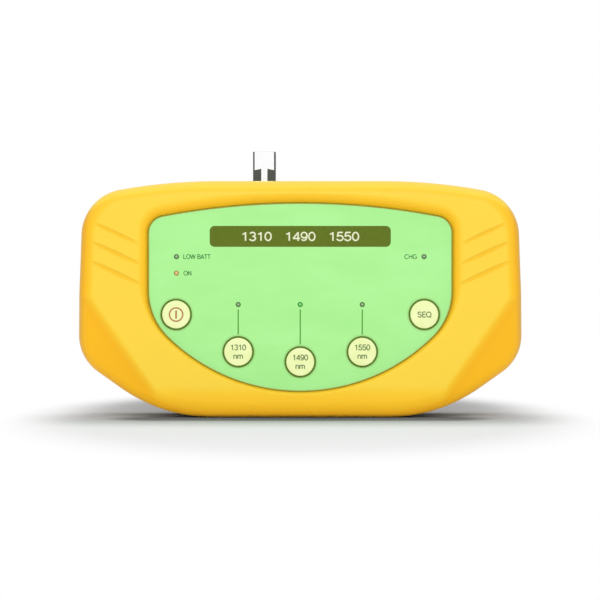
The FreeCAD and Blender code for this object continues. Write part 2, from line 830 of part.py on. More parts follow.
# Front overlay with its openings.
overlay = new_body("front_overlay")
outline = new_sketch(overlay, offset=SEAT)
label_outline(outline)
for across, up in KEYS.values():
    circle(outline, across, up, "key_radius + key_clear")
for across, up in LIGHTS.values():
    circle(outline, across, up, "light_radius + light_clear / 2")
feature(overlay, "Pad", outline, "label_thickness")
keep("front_overlay", overlay, UP_TO_FRONT)

# Keys with a retaining flange, and the switch plunger behind each.
for label, (across, up) in KEYS.items():
    top = f"{LABEL} + key_proud"
    key = turned(label, [
        ("0", FLANGE_BACK),
        ("key_flange_radius", FLANGE_BACK),
        ("key_flange_radius", FLANGE_FRONT),
        ("key_radius", FLANGE_FRONT),
        ("key_radius", f"{top} - key_edge"),
        ("key_radius - 0.3 * key_edge", f"{top} - 0.3 * key_edge"),
        ("key_radius - key_edge", top),
        ("0", top),
    ])
    keep(label, key, UP_TO_FRONT, across, "0", up)
    plunger = turned(label + "_plunger", [
        ("0", f"{SWITCH_TOP} - plunger_depth"),
        ("plunger_radius", f"{SWITCH_TOP} - plunger_depth"),
        ("plunger_radius", f"{FLANGE_BACK} - 0.2"),
        ("plunger_radius - 0.2", FLANGE_BACK),
        ("0", FLANGE_BACK),
    ])
    keep(label + "_plunger", plunger, UP_TO_FRONT, across, "0", up)

# Tactile switch bodies on the board.
switches = new_body("tactile_switches")
bases = new_sketch(switches, offset=BOARD_FRONT)
for across, up in KEYS.values():
    half = "switch_side / 2"
    rectangle(bases, f"{across} - {half}", f"{across} + {half}", f"{up} - {half}", f"{up} + {half}")
    circle(bases, across, up, "plunger_radius + plunger_clear")
feature(switches, "Pad", bases, "switch_height")
keep("tactile_switches", switches, UP_TO_FRONT)

# Indicator lights, reaching from the board to the overlay.
for label, (across, up) in LIGHTS.items():
    tip = f"{LABEL} + light_proud"
    light = turned(label, [
        ("0", BOARD_FRONT),
        ("light_base_radius", BOARD_FRONT),
        ("light_base_radius", f"{BOARD_FRONT} + light_base_height"),
        ("light_radius", f"{BOARD_FRONT} + light_base_height"),
        ("light_radius", f"{tip} - 0.4 * light_radius"),
        ("0.75 * light_radius", f"{tip} - 0.1 * light_radius"),
        ("0.4 * light_radius", tip),
        ("0", tip),
    ])
    keep(label, light, UP_TO_FRONT, across, "0", up)

# Main board, its screws and its larger components.
board = new_body("main_board")
plate = new_sketch(board, offset=BOARD_BACK)
polygon(plate, [
    ("-board_width / 2 + board_cut", "board_bottom"),
    ("board_width / 2 - board_cut", "board_bottom"),
    ("board_width / 2", "board_bottom + board_cut"),
    ("board_width / 2", BOARD_TOP),
    ("-board_width / 2", BOARD_TOP),
    ("-board_width / 2", "board_bottom + board_cut"),
])
for across, up in BOARD_BOSSES:
    circle(plate, across, up, "board_screw_radius + screw_clear")
feature(board, "Pad", plate, "board_thickness")
keep("main_board", board, UP_TO_FRONT)
screws = []
for i, (across, up) in enumerate(BOARD_BOSSES):
    screw = machine_screw(
        f"board_screw_{i}", "board_screw_radius", "board_head_radius", "board_head_height",
        "board_screw_length", "screw_drive",
    )
    keep(screw.Name, screw, UP_TO_FRONT, across, f"-({BOARD_BACK})", up)
    screws.append(nodes.pop(screw.Name))
group("board_screws", screws)


def board_blocks(label, places, width, length, height):
    """Square components on the back of the board."""
    body = new_body(label)
    sketch = new_sketch(body, offset=BOARD_BACK)
    for across, up in places:
        left = f"{across} - {width} / 2"
        right = f"{across} + {width} / 2"
        rectangle(sketch, left, right, f"{up} - {length} / 2", f"{up} + {length} / 2")
    feature(body, "Pad", sketch, height, reverse=True)
    return keep(label, body, UP_TO_FRONT)


def board_rounds(label, places, radius, height):
    """Round components on the back of the board."""
    body = new_body(label)
    sketch = new_sketch(body, offset=BOARD_BACK)
    for across, up in places:
        circle(sketch, across, up, radius)
    feature(body, "Pad", sketch, height, reverse=True)
    return keep(label, body, UP_TO_FRONT)


board_blocks(
    "control_chip", [("-control_offset", f"{BOARD_TOP} - control_drop")],
    "control_chip_side", "control_chip_side", "control_chip_height",
)
board_blocks(
    "driver_chips",
    [(f"laser_offset + {i} * laser_pitch", f"{LASER_FOOT} - driver_drop") for i in range(3)]
    + [("-control_offset", f"{BOARD_TOP} - memory_drop")],
    "small_chip_width", "small_chip_length", "small_chip_height",
)
board_rounds(
    "inductors",
    [("supply_offset", f"{BOARD_TOP} - inductor_drop + {i} * inductor_pitch") for i in range(2)],
    "inductor_radius", "inductor_height",
)
board_rounds(
    "capacitors",
    [
        ("supply_offset", f"{BOARD_TOP} - capacitor_drop"),
        ("-reserve_offset", f"{BOARD_TOP} - reserve_drop"),
    ],
    "capacitor_radius", "capacitor_height",
)
HEADER_TOP = f"({BOARD_BACK}) - header_height"
board_blocks(
    "battery_header", [("battery_header_offset", "battery_header_height")],
    "header_width", "header_length", "header_height",
)
LEAD_LEVEL = f"{JACK_FLOOR} - jack_drop"
board_blocks("jack_header", [("jack_offset", LEAD_LEVEL)], "header_width", "header_length", "header_height")


# Fibre port: drawn about its own axis, with its mouth at height nought and the rest below.
def port_piece(label, body):
    return keep(label, body, None, "-port_offset", "0", "case_height + port_proud")


port = new_body("port_body")
section = new_sketch(port)
rectangle(section, "-port_width / 2", "port_width / 2", "-port_depth / 2", "port_depth / 2")
feature(port, "Pad", section, "port_length", reverse=True)
collar = new_sketch(port, offset="-port_proud - wall")
rectangle(collar, "-port_width / 2", "port_width / 2", "-port_flange / 2", "port_flange / 2")
feature(port, "Pad", collar, "port_flange_thickness", reverse=True)
bore = new_sketch(port)
rectangle(bore, "-socket_width / 2", "socket_width / 2", "-socket_depth / 2", "socket_depth / 2")
feature(port, "Pocket", bore, "port_length")
keyway = new_sketch(port)
rectangle(keyway, "0", "port_width", "-keyway_width / 2", "keyway_width / 2")
feature(port, "Pocket", keyway, "keyway_depth")
CLIP = [
    ("-clip_width / 2", "-clip_top"),
    ("-clip_width / 2", "-clip_plate - clip_slant"),
    ("-tongue_width / 2", "-clip_plate"),
    ("-tongue_width / 2", "-port_proud - wall"),
    ("tongue_width / 2", "-port_proud - wall"),
    ("tongue_width / 2", "-clip_plate"),
    ("clip_width / 2", "-clip_plate - clip_slant"),
    ("clip_width / 2", "-clip_top"),
]
for offset, reverse in (("port_depth / 2 - clip_bed", True), ("-port_depth / 2 + clip_bed", False)):
    bed = new_sketch(port, "XZ_Plane", offset)
    polygon(bed, CLIP)
    feature(port, "Pocket", bed, "clip_bed", reverse=reverse)
port_piece("port_body", port)

clips = new_body("port_clips")
for offset, reverse in (("port_depth / 2 - clip_bed", False), ("-port_depth / 2 + clip_bed", True)):
    plate = new_sketch(clips, "XZ_Plane", offset)
    polygon(plate, CLIP)
    feature(clips, "Pad", plate, "clip_thickness", reverse=reverse)
port_piece("port_clips", clips)

MIDDLE = "-port_length / 2"
latch = new_body("port_latch")
plate = new_sketch(latch, offset=f"{MIDDLE} - latch_plate / 2")
half_across = "(socket_width / 2 - latch_fit)"
half_deep = "(socket_depth / 2 - latch_fit)"
rectangle(plate, f"-{half_across}", half_across, f"-{half_deep}", half_deep)
feature(latch, "Pad", plate, "latch_plate")
tube = new_sketch(latch, offset=f"{MIDDLE} - sleeve_length / 2 - 0.5")
circle(tube, "0", "0", "latch_radius")
feature(latch, "Pad", tube, "sleeve_length + 1")
for low, high in ((MIDDLE, "-hook_reach"), ("-port_length + plug_entry + 0.5", MIDDLE)):
    hooks = new_sketch(latch, offset=low)
    for side in ("-", ""):
        inner = f"{side}({half_deep} - hook_thickness)"
        rectangle(hooks, "-hook_width / 2", "hook_width / 2", inner, f"{side}{half_deep}")
    feature(latch, "Pad", hooks, f"({high}) - ({low})")
through = new_sketch(latch, offset="0")
circle(through, "0", "0", "sleeve_radius + latch_fit")
feature(latch, "Pocket", through, "port_length")
port_piece("port_latch", latch)

sleeve = new_body("split_sleeve")
ring = new_sketch(sleeve, offset=f"{MIDDLE} - sleeve_length / 2")
circle(ring, "0", "0", "sleeve_radius")
circle(ring, "0", "0", "ferrule_radius + ferrule_fit")
feature(sleeve, "Pad", ring, "sleeve_length")
slit = new_sketch(sleeve, offset=f"{MIDDLE} - sleeve_length / 2")
rectangle(slit, "0", "sleeve_radius + 1", "-sleeve_slit / 2", "sleeve_slit / 2")
feature(sleeve, "Pocket", slit, "sleeve_length", reverse=True)
port_piece("split_sleeve", sleeve)

PLUG_TOP = "-port_length + plug_entry"
PLUG_FOOT = f"{PLUG_TOP} - plug_length"
plug = new_body("inner_plug")
section = new_sketch(plug, offset=PLUG_TOP)
rectangle(section, "-plug_width / 2", "plug_width / 2", "-plug_depth / 2", "plug_depth / 2")
circle(section, "0", "0", "ferrule_radius + 0.05")
feature(plug, "Pad", section, "plug_length", reverse=True)
grip = new_sketch(plug, "YZ_Plane", "-plug_width")
for step in range(4):
    low = f"{PLUG_FOOT} + {2.0 + 2.2 * step}"
    for side in ("-", ""):
        edge = f"{side}plug_depth / 2"
        polygon(grip, [
            (f"{edge} {side or '+'} 0.2", low),
            (f"{edge} {side or '+'} 0.2", f"{low} + 1.1"),
            (f"{edge} {'+' if side else '-'} 0.4", f"{low} + 0.8"),
            (f"{edge} {'+' if side else '-'} 0.4", f"{low} + 0.3"),
        ])
feature(plug, "Pocket", grip, "2 * plug_width", reverse=True)
port_piece("inner_plug", plug)
ferrule = turned("plug_ferrule", [
    ("0", f"{MIDDLE} - 0.05"),
    ("0.8 * ferrule_radius", f"{MIDDLE} - 0.05"),
    ("ferrule_radius", f"{MIDDLE} - 0.5"),
    ("ferrule_radius", f"{PLUG_TOP} - 6"),
    ("0", f"{PLUG_TOP} - 6"),
])
port_piece("plug_ferrule", ferrule)
boot = turned("plug_boot", [
    ("0", PLUG_FOOT),
    ("boot_radius", PLUG_FOOT),
    ("boot_radius", f"{PLUG_FOOT} - 0.15 * boot_length"),
    ("0.5 * boot_radius", f"{PLUG_FOOT} - boot_length"),
    ("0", f"{PLUG_FOOT} - boot_length"),
])
port_piece("plug_boot", boot)

# Laser modules in a clamp, the combiner in two clips.
for i, label in enumerate(("laser_1310", "laser_1490", "laser_1550")):
    laser = turned(label, [
        ("0", "0"),
        ("0.9 * laser_radius", "0"),
        ("0.9 * laser_radius", "1.2"),
        ("laser_radius", "1.2"),
        ("laser_radius", "0.6 * laser_length"),
        ("0.65 * laser_radius", "0.6 * laser_length"),
        ("0.65 * laser_radius", "0.74 * laser_length"),
        ("0.4 * laser_radius", "0.76 * laser_length"),
        ("0.25 * laser_radius", "laser_length"),
        ("0", "laser_length"),
    ])
    keep(label, laser, None, f"laser_offset + {i} * laser_pitch", "0", LASER_FOOT)
clamp = new_body("laser_clamp")
block = new_sketch(clamp)
reach = "laser_radius + clamp_edge"
far = f"laser_offset + 2 * laser_pitch + {reach}"
rectangle(block, f"laser_offset - ({reach})", far, f"-({BOARD_BACK})", reach)
for i in range(3):
    circle(block, f"laser_offset + {i} * laser_pitch", "0", "laser_radius + laser_fit")
feature(clamp, "Pad", block, "clamp_height")
keep("laser_clamp", clamp, None, "0", "0", f"{LASER_FOOT} + 0.18 * laser_length")
combiner = turned("wavelength_combiner", [
    ("0", "0"),
    ("0.5 * combiner_radius", "0"),
    ("combiner_radius", "2"),
    ("combiner_radius", "combiner_length - 2"),
    ("0.8 * combiner_radius", "combiner_length"),
    ("0", "combiner_length"),
])
keep("wavelength_combiner", combiner, None, "combiner_offset", "0", COMBINER_FOOT)
holders = []
for i in range(2):
    holder = new_body(f"combiner_clip_{i}")
    block = new_sketch(holder)
    rectangle(block, "-clip_block / 2", "clip_block / 2", f"-({BOARD_BACK})", "combiner_radius + 1.2")
    circle(block, "0", "0", "combiner_radius + laser_fit")
    feature(holder, "Pad", block, "clip_length")
    spot = f"{COMBINER_FOOT} + {0.2 + 0.45 * i} * combiner_length"
    keep(holder.Name, holder, None, "combiner_offset", "0", spot)
    holders.append(nodes.pop(holder.Name))
group("combiner_clips", holders)


def cable(name, radius, bend, corners):
    """Round lead along straight runs and arcs in one plane; it starts at the origin along +Z."""
    body = new_body(name)
    path = new_sketch(body, "XZ_Plane")
    points = [V(number(across), number(up), 0) for across, up in corners]
    size = number(bend)
    last = points[0]
    chain = []
    for before, here, after in zip(points, points[1:], points[2:]):
        coming = (here - before).normalize()
        going = (after - here).normalize()
        first = here - coming * size
        second = here + going * size
        knee = here - (coming - going).normalize() * (size * (math.sqrt(2) - 1))
        chain.append(path.addGeometry(Part.LineSegment(last, first)))
        chain.append(path.addGeometry(Part.Arc(first, knee, second)))
        last = second
    chain.append(path.addGeometry(Part.LineSegment(last, points[-1])))
    section = new_sketch(body)
    circle(section, "0", "0", radius)
    pipe = feature(body, "AdditivePipe", section)
    pipe.Spine = (path, [f"Edge{i + 1}" for i in range(len(chain))])
    path.Visibility = False
    return body


# Fibres, from the lasers over the top of the board into the combiner, and from it to the port.
fibres = []
for i in range(3):
    start = f"{LASER_FOOT} + laser_length"
    over = f"{COMBINER_FOOT} + combiner_length + fibre_run + {i} * fibre_pitch"
    goal = f"combiner_offset + {1 - i} * fibre_pitch"
    run = f"{goal} - (laser_offset + {i} * laser_pitch)"
    rise = f"{over} - ({start})"
    fibre = cable(f"laser_fibre_{i}", "fibre_radius", "fibre_bend", [
        ("0", "0"), ("0", rise), (run, rise), (run, f"{rise} - fibre_run - {i} * fibre_pitch"),
    ])
    keep(fibre.Name, fibre, None, f"laser_offset + {i} * laser_pitch", "0", start)
    fibres.append(nodes.pop(fibre.Name))
group("laser_fibres", fibres)
HEAD_DOWN = FreeCAD.Rotation(V(0, 1, 0), 180)
BOOT_END = f"case_height + port_proud + {PLUG_FOOT} - boot_length"
sink = "output_bend + 2"
output = cable("output_fibre", "fibre_radius", "output_bend", [
    ("0", "0"), ("0", sink), ("combiner_offset + port_offset", sink),
    ("combiner_offset + port_offset", f"{COMBINER_FOOT} - ({BOOT_END})"),
])
keep("output_fibre", output, HEAD_DOWN, "combiner_offset", "0", COMBINER_FOOT)

# Battery: two cells in a shrink sleeve, taped to the rear cover, with two leads to the board.
ALONG_X = FreeCAD.Rotation(V(0, 1, 0), 90)
cells = []
for i in range(2):
    cell = turned(f"cell_{i}", [
        ("0", "0"),
        ("cell_radius - cell_edge", "0"),
        ("cell_radius", "cell_edge"),
        ("cell_radius", "cell_length - cell_edge"),
        ("cell_radius - cell_edge", "cell_length"),
        ("0", "cell_length"),
    ])
    height = f"battery_bottom + {WRAP} + {i} * 2 * (cell_radius + wrap_gap)"
    keep(cell.Name, cell, ALONG_X, "-cell_length / 2", CELL_BACK, height)
    cells.append(nodes.pop(cell.Name))
group("battery_cells", cells)


def stadium(sketch, radius, low, high):
    """Two half circles joined by lines, upright in the sketch."""
    size = number(radius)
    bottom = V(0, number(low), 0)
    top = V(0, number(high), 0)
    arcs, lines = joined_outline(sketch, [(top, size, 0.0, 180.0), (bottom, size, 180.0, 360.0)])
    constrain(sketch, radius, "Radius", arcs[0])
    sketch.addConstraint(Sketcher.Constraint("Equal", arcs[0], arcs[1]))
    locate(sketch, arcs[0], 3, "0", high)
    locate(sketch, arcs[1], 3, "0", low)


wrap = new_body("battery_sleeve")
section = new_sketch(wrap, "YZ_Plane", "-cell_length / 2")
LOW_CELL = f"battery_bottom + {WRAP}"
HIGH_CELL = f"{LOW_CELL} + 2 * (cell_radius + wrap_gap)"
stadium(section, WRAP, LOW_CELL, HIGH_CELL)
stadium(section, "cell_radius + wrap_gap", LOW_CELL, HIGH_CELL)
feature(wrap, "Pad", section, "cell_length")
keep("battery_sleeve", wrap, None, "0", CELL_BACK, "0")
tape = new_body("battery_tape")
section = new_sketch(tape, offset="-(rear_depth - wall)")
rectangle(section, "-cell_length / 3", "cell_length / 3", f"{LOW_CELL} + 1", f"{HIGH_CELL} - 1")
feature(tape, "Pad", section, "tape_thickness")
keep("battery_tape", tape, UP_TO_FRONT)
ALONG_X_TO_FRONT = FreeCAD.Rotation(V(0, -1, 0), V(0, 0, -1), V(1, 0, 0), "ZXY")
for label, step in (("battery_lead_red", 1), ("battery_lead_black", -1)):
    start = "cell_length / 2"
    reach = f"battery_header_offset - {start}"
    lead = cable(label, "wire_radius", "wire_bend", [
        ("0", "0"), ("0", reach), (f"{CELL_BACK} + ({HEADER_TOP})", reach),
    ])
    level = f"battery_header_height + {step} * wire_pitch / 2"
    keep(label, lead, ALONG_X_TO_FRONT, start, CELL_BACK, level)

# Charging jack under the top wall, with two leads to the board.
jack = turned("charging_jack", [
    ("jack_bore", "0"),
    ("jack_barrel", "0"),
    ("jack_barrel", "jack_sink - wall - 0.3"),
    ("jack_body", "jack_sink - wall - 0.3"),
    ("jack_body", "-jack_length"),
    ("0", "-jack_length"),
    ("0", "-jack_bore_depth"),
    ("jack_bore", "-jack_bore_depth"),
])
keep("charging_jack", jack, None, "jack_offset", "jack_setback", "case_height - jack_sink")
pin = turned("jack_pin", [
    ("0", "-jack_bore_depth"),
    ("jack_pin_radius", "-jack_bore_depth"),
    ("jack_pin_radius", "-1.6"),
    ("0.5 * jack_pin_radius", "-1.1"),
    ("0", "-1.1"),
])
keep("jack_pin", pin, None, "jack_offset", "jack_setback", "case_height - jack_sink")
DOWN_TO_FRONT = FreeCAD.Rotation(V(0, -1, 0), V(-1, 0, 0), V(0, 0, -1), "ZXY")
for label, step in (("jack_lead_red", 1), ("jack_lead_black", -1)):
    lead = cable(label, "wire_radius", "wire_bend", [
        ("0", "0"), ("0", "jack_drop"), (f"jack_setback + ({HEADER_TOP})", "jack_drop"),
    ])
    keep(label, lead, DOWN_TO_FRONT, f"jack_offset + {step} * wire_pitch / 2", "jack_setback", JACK_FLOOR)

doc.recompute()

# Nothing is written unless every object and every finished shape is sound.
for item in doc.Objects:
    if "Invalid" in item.State or "Error" in item.State:
        raise RuntimeError(f"{item.Label} did not build")
os.makedirs("parts", exist_ok=True)
for label, piece in nodes.items():
    shape = piece.Shape
    if shape.isNull() or not shape.isValid():
        raise RuntimeError(f"{label} has no sound shape")
    shape.exportStep(f"parts/{label}.step")
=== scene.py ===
import bmesh
import bpy
import math
from mathutils import Matrix, Vector


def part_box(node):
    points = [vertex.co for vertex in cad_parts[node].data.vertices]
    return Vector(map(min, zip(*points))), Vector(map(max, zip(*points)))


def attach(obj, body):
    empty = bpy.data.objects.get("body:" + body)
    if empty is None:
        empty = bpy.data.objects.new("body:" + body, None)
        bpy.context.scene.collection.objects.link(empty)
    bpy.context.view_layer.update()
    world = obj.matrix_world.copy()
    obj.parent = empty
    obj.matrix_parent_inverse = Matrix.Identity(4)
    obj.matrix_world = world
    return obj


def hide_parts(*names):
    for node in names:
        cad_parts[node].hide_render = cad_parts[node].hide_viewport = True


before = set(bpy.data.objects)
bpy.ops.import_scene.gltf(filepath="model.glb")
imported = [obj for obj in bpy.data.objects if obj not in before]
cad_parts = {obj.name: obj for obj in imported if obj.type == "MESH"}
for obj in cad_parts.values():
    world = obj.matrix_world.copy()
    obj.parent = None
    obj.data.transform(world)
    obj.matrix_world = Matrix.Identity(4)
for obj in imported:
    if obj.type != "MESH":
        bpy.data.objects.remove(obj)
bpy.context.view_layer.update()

# Rear cover
# The back half of the case: one ABS moulding in a warm yellow, with rolled edges, ribs for the battery and
# counterbored towers for the case screws. It closes against the front shell.
MM = 0.001
CASE_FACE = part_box("rear_cover")[1].y / MM  # from the joint of the two halves to the back or the front
ROLL_DEPTH = 3.4  # how far behind a face the painted shade of the rolled walls is full
POLISH_DEPTH = 5.0  # how far behind a face the polish by hands is full
LOW_SHADE_HEIGHT = 14.0  # painted shade deepens the yellow below this height
SCUFF_AND_SHADE_HEIGHT = 1.5  # the bottom edge is scuffed, and painted darker as shade, below this height
TOP_LIGHT_LOW = 60.0  # painted light keeps the upper edge paler above this height
TOP_LIGHT_HIGH = 80.0  # and most above this one


def linear(code):
    """A colour written as #RRGGBB, in linear light."""
    parts = [int(code[i:i + 2], 16) / 255 for i in (1, 3, 5)]
    return [p / 12.92 if p <= 0.04045 else ((p + 0.055) / 1.055) ** 2.4 for p in parts] + [1.0]


def link(source, socket):
    """Links an output to a socket. A node stands for its first output."""
    output = source.outputs[0] if isinstance(source, bpy.types.Node) else source
    socket.id_data.links.new(output, socket)


def add_node(tree, kind, settings=None, links=None):
    """Adds a node. Settings are its properties, its sockets or its colour stops; links feed its sockets."""
    node = tree.nodes.new(kind)
    for name, value in (settings or {}).items():
        if name == "stops":
            ramp = node.color_ramp
            while len(ramp.elements) < len(value):
                ramp.elements.new(1.0)
            for element, (position, code) in zip(ramp.elements, value):
                element.position = position
                element.color = linear(code)
        elif isinstance(name, str) and hasattr(node, name):
            setattr(node, name, value)
        else:
            node.inputs[name].default_value = value
    for socket, source in (links or {}).items():
        link(source, node.inputs[socket])
    return node


def new_material(name):
    """An empty material: itself, its tree, its shader and the piece's own coordinates in metres."""
    material = bpy.data.materials.new(name)
    material.use_nodes = True
    tree = material.node_tree
    place = add_node(tree, "ShaderNodeTexCoord").outputs["Object"]
    return material, tree, tree.nodes["Principled BSDF"], place


def surface(shader, colour, gloss, level):
    """Feeds a shader its colour, its roughness and its bump."""
    for socket, source in (("Base Color", colour), ("Roughness", gloss), ("Normal", level)):
        link(source, shader.inputs[socket])


def dress(material, *nodes):
    """Gives CAD nodes a material."""
    for node in nodes:
        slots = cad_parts[node].data.materials
        slots.clear()
        slots.append(material)


# Moulded ABS, in-coloured, from a spark-eroded mould: a satin yellow with a fine even grain, and edges that
# hands have polished. Painted shade turns the yellow deeper and warmer where the wall rolls away from the
# faces, low on the front and on the walls that look sideways; painted light keeps the upper edge paler.
case_abs, tree, shader, place = new_material("moulded_yellow_abs")
axes = add_node(tree, "ShaderNodeSeparateXYZ", {}, {0: place})
off_joint = add_node(tree, "ShaderNodeMath", {"operation": "ABSOLUTE"}, {0: axes.outputs["Y"]})
# Painted shade: the yellow turns deeper where the wall lies behind a face, on its rolled edges, the seat's
# rim and the grooves, and towards the bottom.
below_face = add_node(tree, "ShaderNodeMapRange",
                      {"From Min": CASE_FACE * MM, "From Max": (CASE_FACE - ROLL_DEPTH) * MM},
                      {"Value": off_joint})
near_base = add_node(tree, "ShaderNodeMapRange",
                     {"From Min": LOW_SHADE_HEIGHT * MM, "From Max": 0.0, "To Max": 0.33,
                      "interpolation_type": "SMOOTHSTEP"}, {"Value": axes.outputs["Z"]})
rolled = add_node(tree, "ShaderNodeMath", {"operation": "MAXIMUM"}, {0: below_face, 1: near_base})
# Painted light: what looks up on the upper edge keeps the paler yellow of the faces, as if lit from above.
facing = add_node(tree, "ShaderNodeSeparateXYZ", {}, {0: place.node.outputs["Normal"]})
looks_up = add_node(tree, "ShaderNodeMapRange", {"From Min": 0.05, "From Max": 0.55},
                    {"Value": facing.outputs["Z"]})
high = add_node(tree, "ShaderNodeMapRange", {"From Min": TOP_LIGHT_LOW * MM, "From Max": TOP_LIGHT_HIGH * MM},
                {"Value": axes.outputs["Z"]})
painted_top_light = add_node(tree, "ShaderNodeMath", {"operation": "MULTIPLY"}, {0: looks_up, 1: high})
below_top_light = add_node(tree, "ShaderNodeMath", {"operation": "SUBTRACT", 0: 1.0}, {1: painted_top_light})
painted_shade_depth = add_node(tree, "ShaderNodeMath", {"operation": "MULTIPLY"}, {0: rolled, 1: below_top_light})
lit_to_shaded_yellows = [(0.0, "#F9D43E"), (0.05, "#FACC2B"), (0.14, "#FAC620"), (0.45, "#FCBC08"), (1.0, "#FEC004")]
shaded_yellow = add_node(tree, "ShaderNodeValToRGB", {"stops": lit_to_shaded_yellows}, {"Fac": painted_shade_depth})
# Flow of the pigment in the wall: clouds about 30 mm across, a few hundredths lighter and darker.
flow = add_node(tree, "ShaderNodeTexNoise", {"Scale": 1 / (30 * MM), "Detail": 2.0}, {"Vector": place})
clouds = add_node(tree, "ShaderNodeMapRange", {"To Min": 0.96, "To Max": 1.03}, {"Value": flow})
# Painted shade: the walls that look sideways are a shade deeper.
sideways = add_node(tree, "ShaderNodeMath", {"operation": "ABSOLUTE"}, {0: facing.outputs["X"]})
side_shade = add_node(tree, "ShaderNodeMapRange", {"From Min": 0.6, "From Max": 0.92, "To Max": 0.21},
                {"Value": sideways})
# Where the two halves meet, the gap between them shows as a line about a quarter of a millimetre wide.
parting = add_node(tree, "ShaderNodeMapRange",
                   {"From Min": 0.22 * MM, "From Max": 0.08 * MM, "To Max": 0.5},
                   {"Value": off_joint})
side_shade_and_joint = add_node(tree, "ShaderNodeMath", {"operation": "MAXIMUM"}, {0: side_shade, 1: parting})
# The clouds of the pigment, less the painted side shade and the joint line, scale the yellow.
depth = add_node(tree, "ShaderNodeMath", {"operation": "SUBTRACT"}, {0: clouds, 1: side_shade_and_joint})
pigment_and_shade = add_node(tree, "ShaderNodeMix", {"data_type": "RGBA", "blend_type": "MULTIPLY", 0: 1.0},
                   {6: shaded_yellow, 7: depth})
# The bottom edge that it stands on is scuffed dark in specks about 2 mm long, and that darkness is also
# painted shade along the edge.
near_floor = add_node(tree, "ShaderNodeMapRange",
                      {"From Min": SCUFF_AND_SHADE_HEIGHT * MM, "From Max": 0.0, "To Max": 1.4},
                      {"Value": axes.outputs["Z"]})
specks = add_node(tree, "ShaderNodeTexNoise", {"Scale": 1 / (2 * MM), "Detail": 3.0}, {"Vector": place})
scuff_and_shade = add_node(tree, "ShaderNodeMath", {"operation": "MULTIPLY"}, {0: near_floor, 1: specks})
scuffed_and_shaded = add_node(tree, "ShaderNodeMix", {"data_type": "RGBA", 7: linear("#5A4818")},
                   {0: scuff_and_shade, 6: pigment_and_shade.outputs[2]})
# What the wall throws back on the paper is dulled, so that the shadow on it stays grey.
route = add_node(tree, "ShaderNodeLightPath")
thrown = add_node(tree, "ShaderNodeMix", {"data_type": "RGBA", 7: linear("#C2BCB0")},
                  {0: route.outputs["Is Diffuse Ray"], 6: scuffed_and_shaded.outputs[2]})
# Spark grain is about 0.1 mm; drawn at 0.4 mm so that it shows as a fine tooth.
grain = add_node(tree, "ShaderNodeTexNoise", {"Scale": 1 / (0.4 * MM), "Detail": 2.0}, {"Vector": place})
satin = add_node(tree, "ShaderNodeMapRange", {"To Min": 0.38, "To Max": 0.50}, {"Value": grain})
polish = add_node(tree, "ShaderNodeMapRange",
                  {"From Min": CASE_FACE * MM, "From Max": (CASE_FACE - POLISH_DEPTH) * MM, "To Max": 0.10},
                  {"Value": off_joint})
gloss = add_node(tree, "ShaderNodeMath", {"operation": "SUBTRACT"}, {0: satin, 1: polish})
tooth = add_node(tree, "ShaderNodeBump", {"Strength": 0.25, "Distance": 0.02 * MM}, {"Height": grain})
surface(shader, thrown.outputs[2], gloss, tooth)
shader.inputs["IOR"].default_value = 1.53
shader.inputs["Specular IOR Level"].default_value = 0.28
dress(case_abs, "rear_cover")

# Battery
# Two AA-size nickel metal hydride cells, one above the other in a shrunk film sleeve, held in the cover's
# ribs by foam tape. Two insulated leads run from the pack to a wire header on the board.


def grained(name, pale, deep, rough, grain_mm, lift_mm, metallic=0.0, stretch=(1, 1, 1)):
    """A finish of two close colours with a grain of its own, which breaks up its gloss and its level too."""
    material, tree, shader, place = new_material(name)
    turned = add_node(tree, "ShaderNodeMapping", {"Scale": stretch}, {"Vector": place})
    grain = add_node(tree, "ShaderNodeTexNoise", {"Scale": 1 / (grain_mm * MM), "Detail": 3.0},
                     {"Vector": turned})
    colour = add_node(tree, "ShaderNodeValToRGB", {"stops": [(0.3, deep), (0.7, pale)]}, {"Fac": grain})
    gloss = add_node(tree, "ShaderNodeMapRange", {"To Min": rough - 0.07, "To Max": rough + 0.07},
                     {"Value": grain})
    level = add_node(tree, "ShaderNodeBump", {"Strength": 0.4, "Distance": lift_mm * MM}, {"Height": grain})
    surface(shader, colour, gloss, level)
    shader.inputs["Metallic"].default_value = metallic
    return material


# Nickel-plated steel cans: bright, with drawing marks along the can.
cell_can = grained("nickel_plated_cell_can", "#D9D6CC", "#B9B5AA", rough=0.28, grain_mm=0.6, lift_mm=0.01,
                   metallic=1.0, stretch=(0.05, 1, 1))
dress(cell_can, "battery_cells")
# Heat-shrunk PVC film: glossy blue with soft wrinkles about 3 mm apart.
shrunk_film = grained("shrunk_blue_pvc_film", "#2E73B8", "#275F9C", rough=0.26, grain_mm=3.0, lift_mm=0.08)
dress(shrunk_film, "battery_sleeve")
# Closed-cell foam tape: off-white, pores about half a millimetre wide, no gloss.
foam_tape = grained("closed_cell_foam_tape", "#E6E3DA", "#BDB9AE", rough=0.85, grain_mm=0.5, lift_mm=0.12)
dress(foam_tape, "battery_tape")
# PVC wire insulation: even colour, a slight sheen and a fine extrusion grain.
red_insulation = grained("red_pvc_insulation", "#C4281F", "#A81E18", rough=0.38, grain_mm=0.4, lift_mm=0.01)
black_insulation = grained("black_pvc_insulation", "#232425", "#161718", rough=0.38, grain_mm=0.4,
                           lift_mm=0.01)
dress(red_insulation, "battery_lead_red")
dress(black_insulation, "battery_lead_black")

# Charging jack
# A barrel jack under the top edge of the cover, moulded in black PBT round a plated centre pin, with two
# leads to the board. The charger's plug goes in from above.
# Black PBT: dull, slightly grey, with the flat sheen of glass-filled plastic.
black_pbt = grained("moulded_black_pbt", "#26272A", "#191A1C", rough=0.46, grain_mm=0.5, lift_mm=0.015)
dress(black_pbt, "charging_jack")
